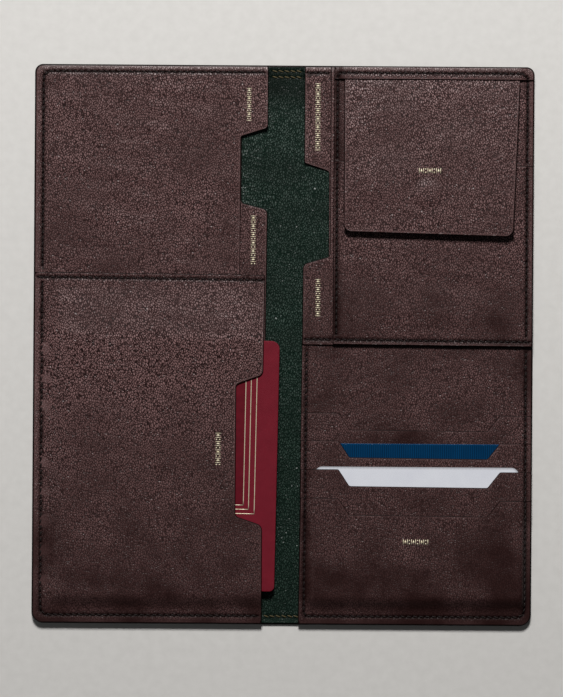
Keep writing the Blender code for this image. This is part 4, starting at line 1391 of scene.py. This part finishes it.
def lozenge(name, centre, along, half_length, half_width, height_at):
    """Small raised diamond of foil."""
    ax, ay = along
    vertices = []
    for level in (-0.05, 0.035):
        for a, b in ((half_length, 0.0), (0.0, half_width), (-half_length, 0.0), (0.0, -half_width)):
            x = centre[0] + ax * a - ay * b
            y = centre[1] + ay * a + ax * b
            vertices.append((x, y, level_at(height_at, x, y) + level))
    faces = [(3, 2, 1, 0), (4, 5, 6, 7)]
    for corner in range(4):
        after = (corner + 1) % 4
        faces.append((corner, after, after + 4, corner + 4))
    uv = [(x * CM_PER_MM, y * CM_PER_MM) for x, y, _ in vertices]
    return new_mesh_object(name, vertices, faces, uv)


def foil_row(name, start, end, width, height_at, body):
    """Stamped border between two points: bars across it, with a diamond or a pair of dots between them."""
    length = math.dist(start, end)
    along = ((end[0] - start[0]) / length, (end[1] - start[1]) / length)
    count = max(5, round(length / 0.86))
    pieces = []
    for index in range(count):
        at = (index + 0.5) / count * length
        centre = (start[0] + along[0] * at, start[1] + along[1] * at)

        def beside(offset):
            return centre[0] - along[1] * offset, centre[1] + along[0] * offset

        if index % 2 == 0:
            pieces.append(bar(f"{name}_{index}", beside(-width / 2), beside(width / 2), 0.26, height_at))
        elif index % 4 == 1:
            pieces.append(lozenge(f"{name}_{index}", centre, along, 0.42, width * 0.42, height_at))
        else:
            for side in (-1.0, 1.0):
                dot = f"{name}_{index}_{int(side)}"
                pieces.append(lozenge(dot, beside(side * width * 0.28), along, 0.30, width * 0.18, height_at))
    finish_piece(join_pieces(name, pieces), FOIL, "leather", body)


# --- assembly

def make_object():
    make_cover()
    make_lining()
    boarding = make_boarding_panel()
    ticket = make_ticket_panel()
    passport = make_passport_panel()
    make_booklet_cover()
    make_booklet_pages()
    make_booklet_print()
    foreign = make_foreign_panel()
    bank = make_bank_panel()
    make_pouch_back()
    front = make_pouch_front()
    make_pouch_band()
    flap = make_flap()
    make_press_stud(front)
    front_slot = make_card_slots(make_card_backing())
    make_cards()
    foil_row("foil_ticket", (-14.9, 108.0), (-14.9, 93.7), 2.0, ticket, "left_half")
    foil_row("foil_boarding", (-12.8, 54.5), (-12.8, 33.6), 2.2, boarding, "left_half")
    foil_row("foil_foreign", (14.0, 110.2), (14.0, 81.5), 2.4, foreign, "right_half")
    foil_row("foil_bank", (14.5, 28.0), (14.5, 11.9), 2.2, bank, "right_half")
    foil_row("foil_passport", (-26.9, -36.7), (-26.9, -50.7), 2.4, passport, "left_half")
    foil_row("foil_coins", (56.1, 73.3), (65.9, 73.3), 2.4, flap, "coin_flap_body")
    foil_row("foil_cards", (50.5, -82.2), (61.6, -82.2), 2.4, front_slot, "right_half")


def dress_cad_nodes():
    """Hidden CAD pieces that stay: the boards and the rivet of the press stud."""
    for node, material in (("board_right", BOARD), ("board_left", BOARD), ("snap_stud_rivet", NICKEL)):
        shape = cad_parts[node]
        shape.data.materials.clear()
        shape.data.materials.append(material)


# --- floor, light, camera

CAMERA_DISTANCE = 1.30
CAMERA_FOCUS_Z = 0.003
SENSOR_HEIGHT = 24.0
VIEW_HEIGHT = 0.2925
VIEW_CENTRE = (-0.63, -1.47)
CAMERA_ROLL = math.radians(0.4)
KEY_DISTANCE = 1.5
KEY_ELEVATION = math.radians(47.0)
KEY_SIZE = 0.34
KEY_POWER = 25.5
FLOOR_HALF = 3.0
FLOOR_GAP = 0.00005


def make_floor():
    mesh = bpy.data.meshes.new("floor")
    corners = [(x * FLOOR_HALF, y * FLOOR_HALF, 0.0) for x, y in ((-1, -1), (1, -1), (1, 1), (-1, 1))]
    mesh.from_pydata(corners, [], [(0, 1, 2, 3)])
    floor = bpy.data.objects.new("floor", mesh)
    floor.location.z = -FLOOR_GAP
    paper = mottled("floor_paper", 260.0, 4.0, (0.66, 0.65, 0.63), (0.70, 0.69, 0.67), 0.00008,
                    0.5, True, 0.4, Roughness=0.85, Specular_IOR_Level=0.2)
    floor.data.materials.append(paper)
    bpy.context.scene.collection.objects.link(floor)


def add_area_light(name, place, size, power, colour):
    """Square light that points at the middle of the organizer."""
    data = bpy.data.lights.new(name, "AREA")
    data.shape = "SQUARE"
    data.size = size
    data.energy = power
    data.color = colour
    lamp = bpy.data.objects.new(name, data)
    lamp.location = place
    lamp.rotation_euler = (-Vector(place)).to_track_quat("-Z", "Y").to_euler()
    bpy.context.scene.collection.objects.link(lamp)


def make_lights():
    reach = KEY_DISTANCE * math.cos(KEY_ELEVATION)
    height = KEY_DISTANCE * math.sin(KEY_ELEVATION)
    add_area_light("key", (-0.05, reach, height), KEY_SIZE, KEY_POWER, (1.0, 0.985, 0.97))
    add_area_light("fill", (-0.9, -0.5, 1.2), 1.2, 0.8, (0.96, 0.98, 1.0))
    world = bpy.data.worlds.new("studio")
    world.use_nodes = True
    sky = world.node_tree.nodes["Background"]
    sky.inputs["Color"].default_value = (1.0, 1.0, 1.0, 1.0)
    sky.inputs["Strength"].default_value = 0.03
    bpy.context.scene.world = world


def make_camera():
    data = bpy.data.cameras.new("camera")
    data.sensor_fit = "VERTICAL"
    data.sensor_height = SENSOR_HEIGHT
    data.lens = SENSOR_HEIGHT * (CAMERA_DISTANCE - CAMERA_FOCUS_Z) / VIEW_HEIGHT
    data.clip_start = 0.01
    camera = bpy.data.objects.new("camera", data)
    camera.location = (VIEW_CENTRE[0] * MM, VIEW_CENTRE[1] * MM, CAMERA_DISTANCE)
    camera.rotation_euler = (0.0, 0.0, CAMERA_ROLL)
    bpy.context.scene.collection.objects.link(camera)
    bpy.context.scene.camera = camera


make_object()
dress_cad_nodes()
make_floor()
make_lights()
make_camera()
bpy.context.scene.view_settings.view_transform = "Standard"
